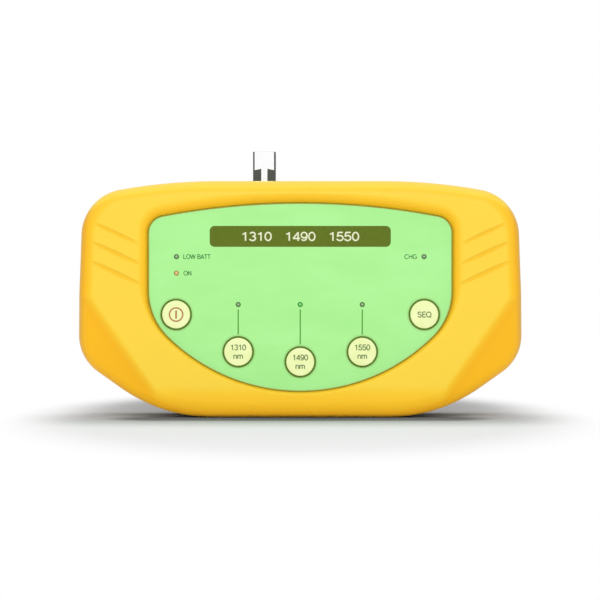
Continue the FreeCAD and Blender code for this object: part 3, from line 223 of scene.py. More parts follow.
# Nickel plate on turned brass: warm white metal with fine turning rings round the pin.
plated_brass = grained("nickel_plated_brass", "#DCD8CC", "#C2BDAF", rough=0.22, grain_mm=0.5, lift_mm=0.008,
                       metallic=1.0, stretch=(0.1, 0.1, 1))
dress(plated_brass, "jack_pin")
dress(red_insulation, "jack_lead_red")
dress(black_insulation, "jack_lead_black")

# Optics
# Three coaxial laser cans in a milled clamp, their fibres joined in a steel combiner tube, and one output
# fibre to the port. The combiner is held to the board by two moulded clips.
# Turned stainless steel: clear grey metal with fine rings round each can, whose axis stands upright.
turned_steel = grained("turned_stainless_steel", "#C9CACB", "#A4A6A8", rough=0.26, grain_mm=0.4,
                       lift_mm=0.01, metallic=1.0, stretch=(0.08, 0.08, 1))
dress(turned_steel, "laser_1310", "laser_1490", "laser_1550", "wavelength_combiner")
# Milled aluminium: paler and softer than the steel, with cutter marks across the block.
milled_block = grained("milled_aluminium", "#D8DADC", "#BCBFC2", rough=0.36, grain_mm=0.8, lift_mm=0.02,
                       metallic=1.0, stretch=(1, 0.1, 0.1))
dress(milled_block, "laser_clamp")
# Nylon 66: milky white, slightly waxy.
white_nylon = grained("moulded_white_nylon", "#ECEAE2", "#DDDBD2", rough=0.42, grain_mm=0.8, lift_mm=0.015)
dress(white_nylon, "combiner_clips")
# Tight-buffer fibre jacket: smooth single-mode yellow.
fibre_jacket = grained("single_mode_fibre_jacket", "#EFC21E", "#DDAE14", rough=0.34, grain_mm=0.5,
                       lift_mm=0.01)
dress(fibre_jacket, "laser_fibres", "output_fibre")

# Board
# One glass-epoxy board screwed to four bosses of the front shell. It carries the switches, the chips, the
# supply parts and the wire headers, and each key presses a plunger on it.
TRACK_PITCH = 1.0
TRACK_AREA = 11.0
WAVE_LENGTH = math.pi / 10  # a wave texture of scale 1 repeats over this length
# FR-4 under green solder mask: in some areas copper tracks show through as paler, slightly raised bands.
laminate, tree, shader, place = new_material("green_masked_fr4")
bands = add_node(tree, "ShaderNodeTexWave",
                 {"bands_direction": "Z", "Scale": WAVE_LENGTH / (TRACK_PITCH * MM), "Distortion": 2.5,
                  "Detail": 1.0, "Detail Scale": 0.6}, {"Vector": place})
areas = add_node(tree, "ShaderNodeTexVoronoi", {"Scale": 1 / (TRACK_AREA * MM), "distance": "CHEBYCHEV"},
                 {"Vector": place})
routed = add_node(tree, "ShaderNodeMath", {"operation": "GREATER_THAN", 1: 0.42}, {0: areas})
tracks = add_node(tree, "ShaderNodeMath", {"operation": "MULTIPLY"}, {0: bands.outputs[1], 1: routed})
mask = add_node(tree, "ShaderNodeValToRGB", {"stops": [(0.45, "#1C5E36"), (0.6, "#2F8550")]},
                {"Fac": tracks})
sheen = add_node(tree, "ShaderNodeMapRange", {"To Min": 0.36, "To Max": 0.24}, {"Value": tracks})
raised = add_node(tree, "ShaderNodeBump", {"Strength": 0.5, "Distance": 0.04 * MM}, {"Height": tracks})
surface(shader, mask, sheen, raised)
dress(laminate, "main_board")
# Zinc-plated steel: cool grey with a faint cloudy bloom.
plated_steel = grained("zinc_plated_steel", "#C6C8CA", "#A3A6A9", rough=0.30, grain_mm=1.2, lift_mm=0.01,
                       metallic=1.0)
dress(plated_steel, "board_screws")
# Moulding compound of the chips: near black, matt, with a fine sandy tooth.
compound = grained("black_epoxy_compound", "#2B2B2C", "#1B1B1C", rough=0.62, grain_mm=0.25, lift_mm=0.02)
dress(compound, "control_chip", "driver_chips")
# Sintered ferrite: dark grey, speckled where grains have broken out.
ferrite = grained("sintered_ferrite", "#4A4846", "#2C2B2A", rough=0.55, grain_mm=0.4, lift_mm=0.03)
dress(ferrite, "inductors")
# Drawn aluminium cans: pale satin metal with lines down the can.
drawn_can = grained("drawn_aluminium_can", "#D9DBDD", "#C3C6C9", rough=0.30, grain_mm=0.6, lift_mm=0.01,
                    metallic=1.0, stretch=(1, 0.05, 1))
dress(drawn_can, "capacitors")
dress(white_nylon, "battery_header", "jack_header")
dress(black_pbt, "tactile_switches")
# Acetal: off-white, dense and slippery, with a low sheen.
acetal = grained("moulded_acetal", "#E2DFD4", "#D2CFC4", rough=0.36, grain_mm=0.6, lift_mm=0.01)
dress(acetal, "power_key_plunger", "key_1310_plunger", "key_1490_plunger", "key_1550_plunger",
      "sequence_key_plunger")

# Fibre port
# A square adapter that stands out of the top edge: a moulded dark grey body between two bright spring
# plates, with a zirconia sleeve inside and a fixed plug with its rubber boot behind it.
# Glass-filled PBT: dark warm grey, matt, a little paler along the mould flow.
grey_pbt = grained("moulded_dark_grey_pbt", "#444742", "#3A3C38", rough=0.50, grain_mm=1.5, lift_mm=0.02)
dress(grey_pbt, "port_body")
# Nickel-plated spring steel: bright and smooth, so it mirrors the white around it, with rolling lines along
# the plate that are about 0.3 mm apart.
rolled_plate, tree, shader, place = new_material("nickel_plated_spring_steel")
along = add_node(tree, "ShaderNodeMapping", {"Scale": (1.0, 1.0, 0.04)}, {"Vector": place})
rolling = add_node(tree, "ShaderNodeTexNoise", {"Scale": 1 / (0.3 * MM), "Detail": 2.0}, {"Vector": along})
plate = add_node(tree, "ShaderNodeValToRGB", {"stops": [(0.3, "#EAEAEB"), (0.7, "#EEEEEF")]},
                 {"Fac": rolling})
streak = add_node(tree, "ShaderNodeMapRange", {"To Min": 0.26, "To Max": 0.31}, {"Value": rolling})
lines = add_node(tree, "ShaderNodeBump", {"Strength": 0.1, "Distance": 0.002 * MM}, {"Height": rolling})
surface(shader, plate, streak, lines)
shader.inputs["Metallic"].default_value = 1.0
dress(rolled_plate, "port_clips")
dress(white_nylon, "port_latch")
# Sintered zirconia: dense milky white ceramic with a ground, almost polished skin.
zirconia = grained("ground_zirconia", "#F3F0E8", "#E9E5DB", rough=0.18, grain_mm=0.5, lift_mm=0.004)
dress(zirconia, "split_sleeve", "plug_ferrule")
# The plug's moulded body: plain blue, as flat-polished single-mode plugs are.
blue_pbt = grained("moulded_blue_pbt", "#2F6FB4", "#285F9C", rough=0.44, grain_mm=0.8, lift_mm=0.015)
dress(blue_pbt, "inner_plug")
# Synthetic rubber: soft black with a dusty bloom.
rubber = grained("moulded_black_rubber", "#2A2A2B", "#1C1C1D", rough=0.72, grain_mm=0.7, lift_mm=0.03)
dress(rubber, "plug_boot")

# Indicator lights
# Six small diffused lamps that reach from the board to the overlay, each a moulded epoxy lens on a wider
# foot. The power lamp glows orange and the middle wavelength lamp green; the others are off.
LENS_TOP = -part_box("power_light")[0].y / MM
LENS_RADIUS = 1.0
LENS_DOME = 0.4  # drop of the dome from its middle to the rim
LENS_SIDES = 32
FOOT_BACK = -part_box("power_light")[1].y / MM
FOOT_FRONT = FOOT_BACK + 2.0
FOOT_RADIUS = 1.5
CRISP_ANGLE = 38  # edges that turn by more degrees than this stay sharp


def middle(node):
    """The middle of a node as the front shows it: across and up, in mm."""
    low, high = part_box(node)
    return (low.x + high.x) / 2 / MM, (low.z + high.z) / 2 / MM


def turned_mesh(name, outline, across, up, sides):
    """A turned form about an axis along Y. The outline runs from the front pole to the back pole as
    (radius, depth behind the joint, finish); each vertex keeps its share of the greatest radius."""
    form = bmesh.new()
    share = form.verts.layers.float.new("across")
    widest = max(radius for radius, depth, finish in outline)
    circles = []
    for radius, depth, finish in outline:
        circle = []
        for side in range(1 if radius == 0 else sides):
            angle = 2 * math.pi * side / sides
            spot = (across + radius * math.cos(angle), depth, up + radius * math.sin(angle))
            circle.append(form.verts.new(Vector(spot) * MM))
            circle[-1][share] = radius / widest
        circles.append((circle, finish))
    for (front, finish), (back, _) in zip(circles, circles[1:]):
        for side in range(sides):
            after = (side + 1) % sides
            if len(front) == 1:
                corners = (front[0], back[after], back[side])
            elif len(back) == 1:
                corners = (front[side], front[after], back[0])
            else:
                corners = (front[side], front[after], back[after], back[side])
            form.faces.new(corners).material_index = finish
    bmesh.ops.recalc_face_normals(form, faces=form.faces)
    mesh = bpy.data.meshes.new(name)
    form.to_mesh(mesh)
    form.free()
    mesh.shade_smooth()
    mesh.set_sharp_from_angle(angle=math.radians(CRISP_ANGLE))
    return mesh


def new_piece(name, mesh, body, slot, *materials):
    """A finished piece: its mesh, its materials and the body that it rides on. The slot is not used."""
    piece = bpy.data.objects.new(name, mesh)
    bpy.context.scene.collection.objects.link(piece)
    for material in materials:
        mesh.materials.append(material)
    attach(piece, body)
    return piece


def lens_material(name, milky, edge, glow):
    """Diffused epoxy: a milky middle, where the chip's cup shines through, inside a darker rim."""
    material, tree, shader, place = new_material(name)
    share = add_node(tree, "ShaderNodeAttribute", {"attribute_name": "across"})
    # The foot is the widest, so the rim of the lens lies at two thirds of the greatest radius.
    stops = [(0.0, milky), (0.14, milky), (0.36, edge), (1.0, edge)]
    colour = add_node(tree, "ShaderNodeValToRGB", {"stops": stops}, {"Fac": share.outputs["Fac"]})
    link(colour, shader.inputs["Emission Color"])
    shader.inputs["Emission Strength"].default_value = glow
    # Filler specks in the epoxy, about 0.2 mm.
    filler = add_node(tree, "ShaderNodeTexNoise", {"Scale": 1 / (0.2 * MM), "Detail": 1.0},
                      {"Vector": place})
    gloss = add_node(tree, "ShaderNodeMapRange", {"To Min": 0.16, "To Max": 0.30}, {"Value": filler})
    skin = add_node(tree, "ShaderNodeBump", {"Strength": 0.1, "Distance": 0.005 * MM}, {"Height": filler})
    surface(shader, colour, gloss, skin)
    shader.inputs["IOR"].default_value = 1.54
    return material


lens_off = lens_material("grey_epoxy_lens", "#9EC292", "#567E48", glow=0.0)
lens_orange = lens_material("orange_epoxy_lens", "#E8C48A", "#C29A54", glow=0.05)
lens_green = lens_material("green_epoxy_lens", "#7CDC78", "#308E32", glow=0.20)
LIGHTS = {
    "low_battery_light": (lens_off, "light_off"),
    "power_light": (lens_orange, "light_orange"),
    "charge_light": (lens_off, "light_off"),
    "light_1310": (lens_off, "light_off"),
    "light_1490": (lens_green, "light_green"),
    "light_1550": (lens_off, "light_off"),
}
# The dome is a little flatter in the middle than half an ellipse, whose power would be 2.
LENS_OUTLINE = [(0, -LENS_TOP, 0)]
for reach in (0.2, 0.4, 0.58, 0.75, 0.9, 1.0):
    drop = LENS_DOME * (1 - math.sqrt(1 - reach ** 2.4))
    LENS_OUTLINE.append((LENS_RADIUS * reach, drop - LENS_TOP, 0))
LENS_OUTLINE += [(LENS_RADIUS, -FOOT_FRONT, 0), (FOOT_RADIUS, -FOOT_FRONT, 0), (FOOT_RADIUS, -FOOT_BACK, 0),
                 (0, -FOOT_BACK, 0)]
for node, (lens, slot) in LIGHTS.items():
    lens_mesh = turned_mesh(node + "_lens", LENS_OUTLINE, *middle(node), LENS_SIDES)
    lamp = new_piece(node + "_lens", lens_mesh, "case", slot, lens)
    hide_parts(node)

# Front shell
# The front half of the case, moulded in the same ABS: rolled edges, two plane facets at the lower corners,
# three soft grip grooves on each side and a sunk seat with a rolled rim for the overlay. Knurled brass
# inserts are melted into its towers for the case screws.
dress(case_abs, "front_shell")
# Knurled brass: warm yellow metal, its knurl about 0.5 mm apart.
knurled_brass = grained("knurled_brass", "#D8B25A", "#B48A38", rough=0.34, grain_mm=0.5, lift_mm=0.05,
                        metallic=1.0)
dress(knurled_brass, "threaded_inserts")

# Front overlay
# A polycarbonate film stuck into the seat of the front shell and die-cut round its edge, the keys and the
# lights. Its background and its marks are screen-printed.
OVERLAY_FACE = -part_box("front_overlay")[0].y / MM
INK = 0.03  # thickness of a printed mark, most of it above the film
KEY_SHADE_INNER = 6.4  # the painted shade round each key is full out to here
KEY_SHADE_OUTER = 7.4  # and gone by here
BOW_STEP = 15  # degrees between two points on the round of a letter
STROKE_STEP = 0.003  # each stroke of a letter lies this much above the one before, so that none fights it
WELD = 0.001  # points of the film closer than this are one
FACE_SLACK = 0.01  # points this close to the front of the film lie on it
KEYS = {
    "power": ("power_key", "power_button"),
    "1310": ("key_1310", "button_1310"),
    "1490": ("key_1490", "button_1490"),
    "1550": ("key_1550", "button_1550"),
    "SEQ": ("sequence_key", "sequence_button"),
}
# Fine-textured polycarbonate over green ink: a flat, slightly satin light green, even from edge to edge.
film, tree, shader, place = new_material("screen_printed_polycarbonate_film")
# Ink laid by the squeegee: streaks about 8 mm wide and 23 mm long, hardly to be seen.
pull = add_node(tree, "ShaderNodeMapping", {"Scale": (0.35, 1.0, 1.0)}, {"Vector": place})
laydown = add_node(tree, "ShaderNodeTexNoise", {"Scale": 1 / (8 * MM), "Detail": 2.0}, {"Vector": pull})
green = add_node(tree, "ShaderNodeValToRGB", {"stops": [(0.25, "#A2EE8C"), (0.75, "#AAF395")]},
                 {"Fac": laydown})
# The distance from the nearest key gives the soft ring of painted shade round it.
off_key = None
for node, body in KEYS.values():
    across, up = middle(node)
    centre = (across * MM, -OVERLAY_FACE * MM, up * MM)
    away = add_node(tree, "ShaderNodeVectorMath", {"operation": "DISTANCE", 1: centre}, {0: place})
    if off_key is None:
        off_key = away.outputs["Value"]
    else:
        off_key = add_node(tree, "ShaderNodeMath", {"operation": "MINIMUM"},
                           {0: away.outputs["Value"], 1: off_key})
key_shade = add_node(tree, "ShaderNodeMapRange",
                  {"From Min": KEY_SHADE_OUTER * MM, "From Max": KEY_SHADE_INNER * MM,
                   "interpolation_type": "SMOOTHSTEP"}, {"Value": off_key})
ring_shaded_green = add_node(tree, "ShaderNodeMix",
                {"data_type": "RGBA", "blend_type": "MULTIPLY", 7: linear("#F4E4E4")},
                {0: key_shade, 6: green})
# The film's velvet texture is about 0.1 mm; drawn at 0.35 mm so that it shows.
velvet = add_node(tree, "ShaderNodeTexNoise", {"Scale": 1 / (0.35 * MM), "Detail": 2.0}, {"Vector": place})
satin = add_node(tree, "ShaderNodeMapRange", {"To Min": 0.40, "To Max": 0.52}, {"Value": velvet})
texture = add_node(tree, "ShaderNodeBump", {"Strength": 0.2, "Distance": 0.01 * MM}, {"Height": velvet})
surface(shader, ring_shaded_green.outputs[2], satin, texture)
shader.inputs["IOR"].default_value = 1.58
dress(film, "front_overlay")


def ink_material(name, colour, thin):
    """Screen-printed ink: a dense matt colour, a little thinner in places about 1 mm wide."""
    material, tree, shader, place = new_material(name)
    cover = add_node(tree, "ShaderNodeTexNoise", {"Scale": 1 / (1 * MM), "Detail": 2.0}, {"Vector": place})
    shade = add_node(tree, "ShaderNodeValToRGB", {"stops": [(0.3, thin), (0.65, colour)]}, {"Fac": cover})
    matt = add_node(tree, "ShaderNodeMapRange", {"To Min": 0.46, "To Max": 0.60}, {"Value": cover})
    level = add_node(tree, "ShaderNodeBump", {"Strength": 0.15, "Distance": 0.005 * MM}, {"Height": cover})
    surface(shader, shade, matt, level)
    shader.inputs["Specular IOR Level"].default_value = 0.25
    return material


def print_tree(name, sizes):
    """A Geometry Nodes tree with named inputs, and the node that gives them."""
    tree = bpy.data.node_groups.new(name, "GeometryNodeTree")
    tree.interface.new_socket("Geometry", in_out="INPUT", socket_type="NodeSocketGeometry")
    for size in sizes:
        tree.interface.new_socket(size, in_out="INPUT", socket_type="NodeSocketFloat")
    tree.interface.new_socket("Ink", in_out="INPUT", socket_type="NodeSocketMaterial")
    tree.interface.new_socket("Geometry", in_out="OUTPUT", socket_type="NodeSocketGeometry")
    return tree, add_node(tree, "NodeGroupInput")


def flat_line(tree, start, curve):
    """A flat printed line along a curve of a print tree."""
    upright = add_node(tree, "GeometryNodeSetCurveNormal", {"mode": "Z_UP"}, {0: curve})
    section = add_node(tree, "GeometryNodeCurvePrimitiveQuadrilateral", {},
                       {"Width": start.outputs["Line width"], "Height": start.outputs["Thickness"]})
    return add_node(tree, "GeometryNodeCurveToMesh", {"Fill Caps": True},
                    {"Curve": upright, "Profile Curve": section})


def end_print(tree, start, shape):
    """Ends a print tree: the copies become a mesh and take their ink."""
    real = add_node(tree, "GeometryNodeRealizeInstances", {}, {0: shape})
    inked = add_node(tree, "GeometryNodeSetMaterial", {},
                     {"Geometry": real, "Material": start.outputs["Ink"]})
    add_node(tree, "NodeGroupOutput", {}, {0: inked})


# Rings: one ring of a given radius on each point of the drawing.
rings, start = print_tree("printed_rings", ("Radius", "Line width", "Thickness"))
circle = add_node(rings, "GeometryNodeCurvePrimitiveCircle", {"Resolution": 72},
                  {"Radius": start.outputs["Radius"]})
copies = add_node(rings, "GeometryNodeInstanceOnPoints", {},
                  {"Points": start, "Instance": flat_line(rings, start, circle)})
end_print(rings, start, copies)

# Lines: a flat line of a given width along each run of the drawing.
strokes, start = print_tree("printed_lines", ("Line width", "Thickness"))
path = add_node(strokes, "GeometryNodeMeshToCurve", {}, {0: start})
end_print(strokes, start, flat_line(strokes, start, path))


def sheet(points, lines=()):
    """A flat drawing of points and lines in mm, as on the printer's film. A point may have a height."""
    mesh = bpy.data.meshes.new("drawing")
    mesh.from_pydata([Vector(point).to_3d() * MM for point in points], lines, [])
    return mesh


def grow(tree, mesh, ink, **sizes_mm):
    """The mesh that a print tree makes of a sheet drawing, in an ink and with the tree's sizes in mm."""
    inputs = {name.replace("_", " ").capitalize(): size * MM for name, size in sizes_mm.items()}
    inputs.update({"Thickness": INK * MM, "Ink": ink})
    holder = bpy.data.objects.new("sheet", mesh)
    bpy.context.scene.collection.objects.link(holder)
    modifier = holder.modifiers.new("print", "NODES")
    modifier.node_group = tree
    for item in tree.interface.items_tree:
        if item.in_out == "INPUT" and item.name in inputs:
            modifier[item.identifier] = inputs[item.name]
    bpy.context.view_layer.update()
    grown = bpy.data.meshes.new_from_object(holder.evaluated_get(bpy.context.evaluated_depsgraph_get()))
    holder.modifiers.remove(modifier)
    bpy.data.objects.remove(holder)
    return grown


def lay_on(name, meshes, face, body, slot, ink):
    """A printed piece: sheet drawings stood up on a face. A third of the ink's thickness is in the face."""
    form = bmesh.new()
    for mesh in meshes:
        form.from_mesh(mesh)
    mesh = bpy.data.meshes.new(name)
    form.to_mesh(mesh)
    form.free()
    stand_up = Matrix.Rotation(math.radians(90), 4, "X")
    mesh.transform(Matrix.Translation((0, -(face + INK / 6) * MM, 0)) @ stand_up)
    new_piece(name, mesh, body, slot, ink)


def bow(across, up, wide, high, start, end):
    """Points along part of an oval, from one angle to another in degrees."""
    steps = max(2, round(abs(end - start) / BOW_STEP))
    turns = [math.radians(start + (end - start) * step / steps) for step in range(steps + 1)]
    return [(across + wide * math.cos(turn), up + high * math.sin(turn)) for turn in turns]


# Plain grotesque letters as the printer's plotter draws them: the width that each takes and its strokes, in
# parts of the height of a capital. A stroke that ends where it starts is closed.
LETTERS = {
    "0": (0.62, [bow(0.31, 0.5, 0.24, 0.47, 0, 360)]),
    "1": (0.62, [[(0.12, 0.76), (0.28, 0.82), (0.36, 0.97)], [(0.36, 1.0), (0.36, 0.0)]]),
    "3": (0.62, [bow(0.30, 0.74, 0.21, 0.23, 160, -90), bow(0.30, 0.27, 0.24, 0.24, 90, -165)]),
    "4": (0.62, [[(0.45, 0.0), (0.45, 1.0)], [(0.45, 0.97), (0.05, 0.27)], [(0.03, 0.27), (0.60, 0.27)]]),
    "5": (0.62, [[(0.53, 0.97), (0.15, 0.97)], [(0.16, 0.99), (0.09, 0.48)],
                 bow(0.29, 0.32, 0.25, 0.29, 145, -165)]),
    "9": (0.62, [bow(0.31, 0.66, 0.23, 0.31, 0, 360),
                 [(0.54, 0.66), (0.53, 0.40), (0.46, 0.14), (0.30, 0.03), (0.10, 0.14)]]),
    "n": (0.60, [[(0.09, 0.72), (0.09, 0.0)], bow(0.30, 0.46, 0.21, 0.23, 180, 0) + [(0.51, 0.0)]]),
    "m": (0.92, [[(0.09, 0.72), (0.09, 0.0)], bow(0.275, 0.48, 0.185, 0.21, 180, 0) + [(0.46, 0.0)],
                 bow(0.645, 0.48, 0.185, 0.21, 180, 0) + [(0.83, 0.0)]]),
    "A": (0.66, [[(0.04, 0.0), (0.34, 1.0)], [(0.32, 1.0), (0.62, 0.0)], [(0.13, 0.32), (0.53, 0.32)]]),
    "B": (0.66, [[(0.10, 0.0), (0.10, 1.0)],
                 [(0.10, 0.97)] + bow(0.36, 0.75, 0.19, 0.22, 90, -90) + [(0.10, 0.53)],
                 [(0.10, 0.53)] + bow(0.38, 0.28, 0.21, 0.25, 90, -90) + [(0.10, 0.03)]]),
    "C": (0.72, [bow(0.38, 0.5, 0.31, 0.47, 48, 312)]),
    "E": (0.61, [[(0.10, 0.0), (0.10, 1.0)], [(0.10, 0.97), (0.55, 0.97)], [(0.10, 0.53), (0.51, 0.53)],
                 [(0.10, 0.03), (0.57, 0.03)]]),
    "G": (0.78, [bow(0.39, 0.5, 0.32, 0.47, 48, 318) + [(0.68, 0.18), (0.68, 0.42)],
                 [(0.42, 0.44), (0.70, 0.44)]]),
    "H": (0.70, [[(0.10, 0.0), (0.10, 1.0)], [(0.60, 0.0), (0.60, 1.0)], [(0.10, 0.52), (0.60, 0.52)]]),
    "L": (0.57, [[(0.10, 1.0), (0.10, 0.0)], [(0.10, 0.03), (0.53, 0.03)]]),
    "N": (0.70, [[(0.10, 0.0), (0.10, 1.0)], [(0.10, 0.98), (0.60, 0.02)], [(0.60, 0.0), (0.60, 1.0)]]),
    "O": (0.78, [bow(0.39, 0.5, 0.33, 0.47, 0, 360)]),
    "Q": (0.78, [bow(0.39, 0.5, 0.33, 0.47, 0, 360), [(0.47, 0.23), (0.73, -0.05)]]),
    "S": (0.66, [bow(0.33, 0.745, 0.23, 0.225, 20, 180) + bow(0.33, 0.745, 0.23, 0.225, 195, 262)
                 + bow(0.33, 0.275, 0.245, 0.245, 82, -15) + bow(0.33, 0.275, 0.245, 0.245, -30, -165)]),
    "T": (0.60, [[(0.02, 0.97), (0.58, 0.97)], [(0.30, 1.0), (0.30, 0.0)]]),
    "W": (0.94, [[(0.03, 1.0), (0.25, 0.0)], [(0.25, 0.0), (0.47, 1.0)], [(0.47, 1.0), (0.69, 0.0)],
                 [(0.69, 0.0), (0.91, 1.0)]]),
    " ": (0.34, []),
}


def lettering(text, height, weight, across, up, ink, stretch):
    """Printed lettering centred on a place of the sheet: the height of its capitals and the width of its
    strokes in mm, and how far it is stretched sideways."""
    length = sum(LETTERS[letter][0] for letter in text)
    points, lines, pen = [], [], -length / 2
    for letter in text:
        advance, marks = LETTERS[letter]
        for turn, mark in enumerate(marks):
            closed = math.dist(mark[0], mark[-1]) < 1e-6
            run = mark[:-1] if closed else mark
            first = len(points)
            for x, y in run:
                points.append((across + (pen + x) * height * stretch, up + (y - 0.5) * height,
                               STROKE_STEP * turn))
            lines += [(first + i, first + i + 1) for i in range(len(run) - 1)]
            if closed:
                lines.append((first + len(run) - 1, first))
        pen += advance
    return grow(strokes, sheet(points, lines), ink, line_width=weight)


# Dark green ink of the names beside the lights: each name's text, how far it stands aside, and its stretch.
LIGHT_NAMES = {
    "low_battery_light": ("LOW BATT", 8.3, 1.2),
    "power_light": ("ON", 4.5, 1.22),
    "charge_light": ("CHG", -5.4, 1.32),
}
NAME_HEIGHT = 1.8
NAME_WEIGHT = 0.31
name_ink = ink_material("dark_green_screen_ink", "#38803E", "#428C46")
names = []
for node, (text, aside, stretch) in LIGHT_NAMES.items():
    across, up = middle(node)
    names.append(lettering(text, NAME_HEIGHT, NAME_WEIGHT, across + aside, up, name_ink, stretch))
lay_on("light_names", names, OVERLAY_FACE, "case", "overlay_film", name_ink)

# Green ink of the lead lines, from just below each wavelength's light to just above its key.
LEAD_WIDTH = 0.5
BELOW_LIGHT = 2.0
ABOVE_KEY = 7.05
lead_ink = ink_material("green_screen_ink", "#579A3C", "#60A444")
ends = []
for figure in ("1310", "1490", "1550"):
    across, light_up = middle("light_" + figure)
    key_up = middle("key_" + figure)[1]
    ends += [(across, light_up - BELOW_LIGHT), (across, key_up + ABOVE_KEY)]
leads = grow(strokes, sheet(ends, [(0, 1), (2, 3), (4, 5)]), lead_ink, line_width=LEAD_WIDTH)
lay_on("lead_lines", [leads], OVERLAY_FACE, "case", "overlay_film", lead_ink)

# Dark olive ink of the rings round the keys.
RING_RADIUS = 6.24
LINE_WIDTH = 0.44
olive_ink = ink_material("dark_olive_screen_ink", "#628F28", "#6A9830")
key_places = sheet([middle(node) for node, body in KEYS.values()])
key_rings = grow(rings, key_places, olive_ink, radius=RING_RADIUS, line_width=LINE_WIDTH)
lay_on("key_rings", [key_rings], OVERLAY_FACE, "case", "overlay_film", olive_ink)


def outer_edge(node, face, inset):
    """The outer edge of a flat node's front as sheet points, moved in by an inset."""
    form = bmesh.new()
    form.from_mesh(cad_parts[node].data)
    bmesh.ops.remove_doubles(form, verts=form.verts, dist=WELD * MM)
    front = {f for f in form.faces if all(v.co.y < (FACE_SLACK - face) * MM for v in f.verts)}
    follow = {}
    for shape in front:
        for loop in shape.loops:
            if sum(other in front for other in loop.edge.link_faces) == 1:
                follow[loop.vert.index] = loop.link_loop_next.vert
    form.verts.ensure_lookup_table()
    start = max(follow, key=lambda i: form.verts[i].co.x)
    edge = [form.verts[start]]
    while follow[edge[-1].index].index != start:
        edge.append(follow[edge[-1].index])
    points = [(v.co.x / MM, v.co.z / MM) for v in edge]
    form.free()
    moved = []
    for before, here, after in zip(points[-1:] + points[:-1], points, points[1:] + points[:1]):
        run, rise = after[0] - before[0], after[1] - before[1]
        length = math.hypot(run, rise)
        moved.append((here[0] - rise / length * inset, here[1] + run / length * inset))
    return moved


# A painted shade line in brown olive along the die-cut edge, where the gap between the film and the seat's
# rim is dark.
edge_shade_ink = ink_material("brown_olive_edge_shade", "#A6A23C", "#AEAA44")
edge = outer_edge("front_overlay", OVERLAY_FACE, LINE_WIDTH / 2)
edge_runs = [(i, (i + 1) % len(edge)) for i in range(len(edge))]
edge_shade_line = grow(strokes, sheet(edge, edge_runs), edge_shade_ink, line_width=LINE_WIDTH)
lay_on("overlay_edge_shade", [edge_shade_line], OVERLAY_FACE, "case", "overlay_film", edge_shade_ink)


def round_panel(width, height, radius, up, steps=8):
    """A solid printed panel with round corners, as a sheet drawing."""
    form = bmesh.new()
    corners = []
    for turn, (side, end) in enumerate(((1, 1), (-1, 1), (-1, -1), (1, -1))):
        for step in range(steps + 1):
            angle = math.pi / 2 * (turn + step / steps)
            x = side * (width / 2 - radius) + radius * math.cos(angle)
            y = up + end * (height / 2 - radius) + radius * math.sin(angle)
            corners.append(form.verts.new((x * MM, y * MM, -INK / 2 * MM)))
    base = form.faces.new(corners)
    top = bmesh.ops.extrude_face_region(form, geom=[base])["geom"]
    lifted = [part for part in top if isinstance(part, bmesh.types.BMVert)]
    bmesh.ops.translate(form, vec=(0, 0, INK * MM), verts=lifted)
    bmesh.ops.recalc_face_normals(form, faces=form.faces)
    mesh = bpy.data.meshes.new("panel")
    form.to_mesh(mesh)
    form.free()
    return mesh


# Olive ink of the title panel, with the three wavelengths printed pale on it.
PANEL_WIDTH = 73.6
PANEL_HEIGHT = 8.5
PANEL_CORNER = 2.0
PANEL_DROP = 13.65  # from the top of the overlay to the middle of the panel
PANEL_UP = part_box("front_overlay")[1].z / MM - PANEL_DROP
TITLE_HEIGHT = 3.5
TITLE_WEIGHT = 0.62
TITLE_UP = PANEL_UP - 0.05  # the figures stand a little below the middle of the panel
panel_ink = ink_material("olive_screen_ink", "#586B07", "#5F720C")
panel = round_panel(PANEL_WIDTH, PANEL_HEIGHT, PANEL_CORNER, PANEL_UP)
lay_on("title_panel", [panel], OVERLAY_FACE, "case", "overlay_film", panel_ink)
pale_ink = ink_material("pale_screen_ink", "#EFF3D6", "#E4EAC4")
title = lettering("1310   1490   1550", TITLE_HEIGHT, TITLE_WEIGHT, 0.0, TITLE_UP, pale_ink, stretch=1.45)
lay_on("title_figures", [title], OVERLAY_FACE + INK, "case", "overlay_film", pale_ink)

# Keys
# Five round push keys, moulded with a flange that keeps them in the case, which stand 0.8 mm proud of the
# overlay. Their faces are printed pale, the moulding's own green shows at the edge, and marks are on top.
key_low, key_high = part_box("power_key")
KEY_TOP = -key_low.y / MM
KEY_BACK = -key_high.y / MM
KEY_RADIUS = 5.8
KEY_ROUND = 0.6  # radius of the round along the edge of the face
KEY_INNER = 2.6  # a circle inside the flat top keeps its triangles short
KEY_SIDES = 96
FLANGE_RADIUS = (key_high.x - key_low.x) / 2 / MM
FLANGE_FRONT = KEY_BACK + 1.2
PRINT_END = 39  # the printed face ends on the round of the edge, this many degrees down from the top
FIGURE_HEIGHT = 2.2
FIGURE_WEIGHT = 0.42
FIGURE_RISE = 1.8
UNIT_DROP = 1.72
POWER_RADIUS = 2.7
POWER_LINE = 0.6
POWER_BAR = 0.7
POWER_REACH = 1.65  # half the length of the bar in the power sign
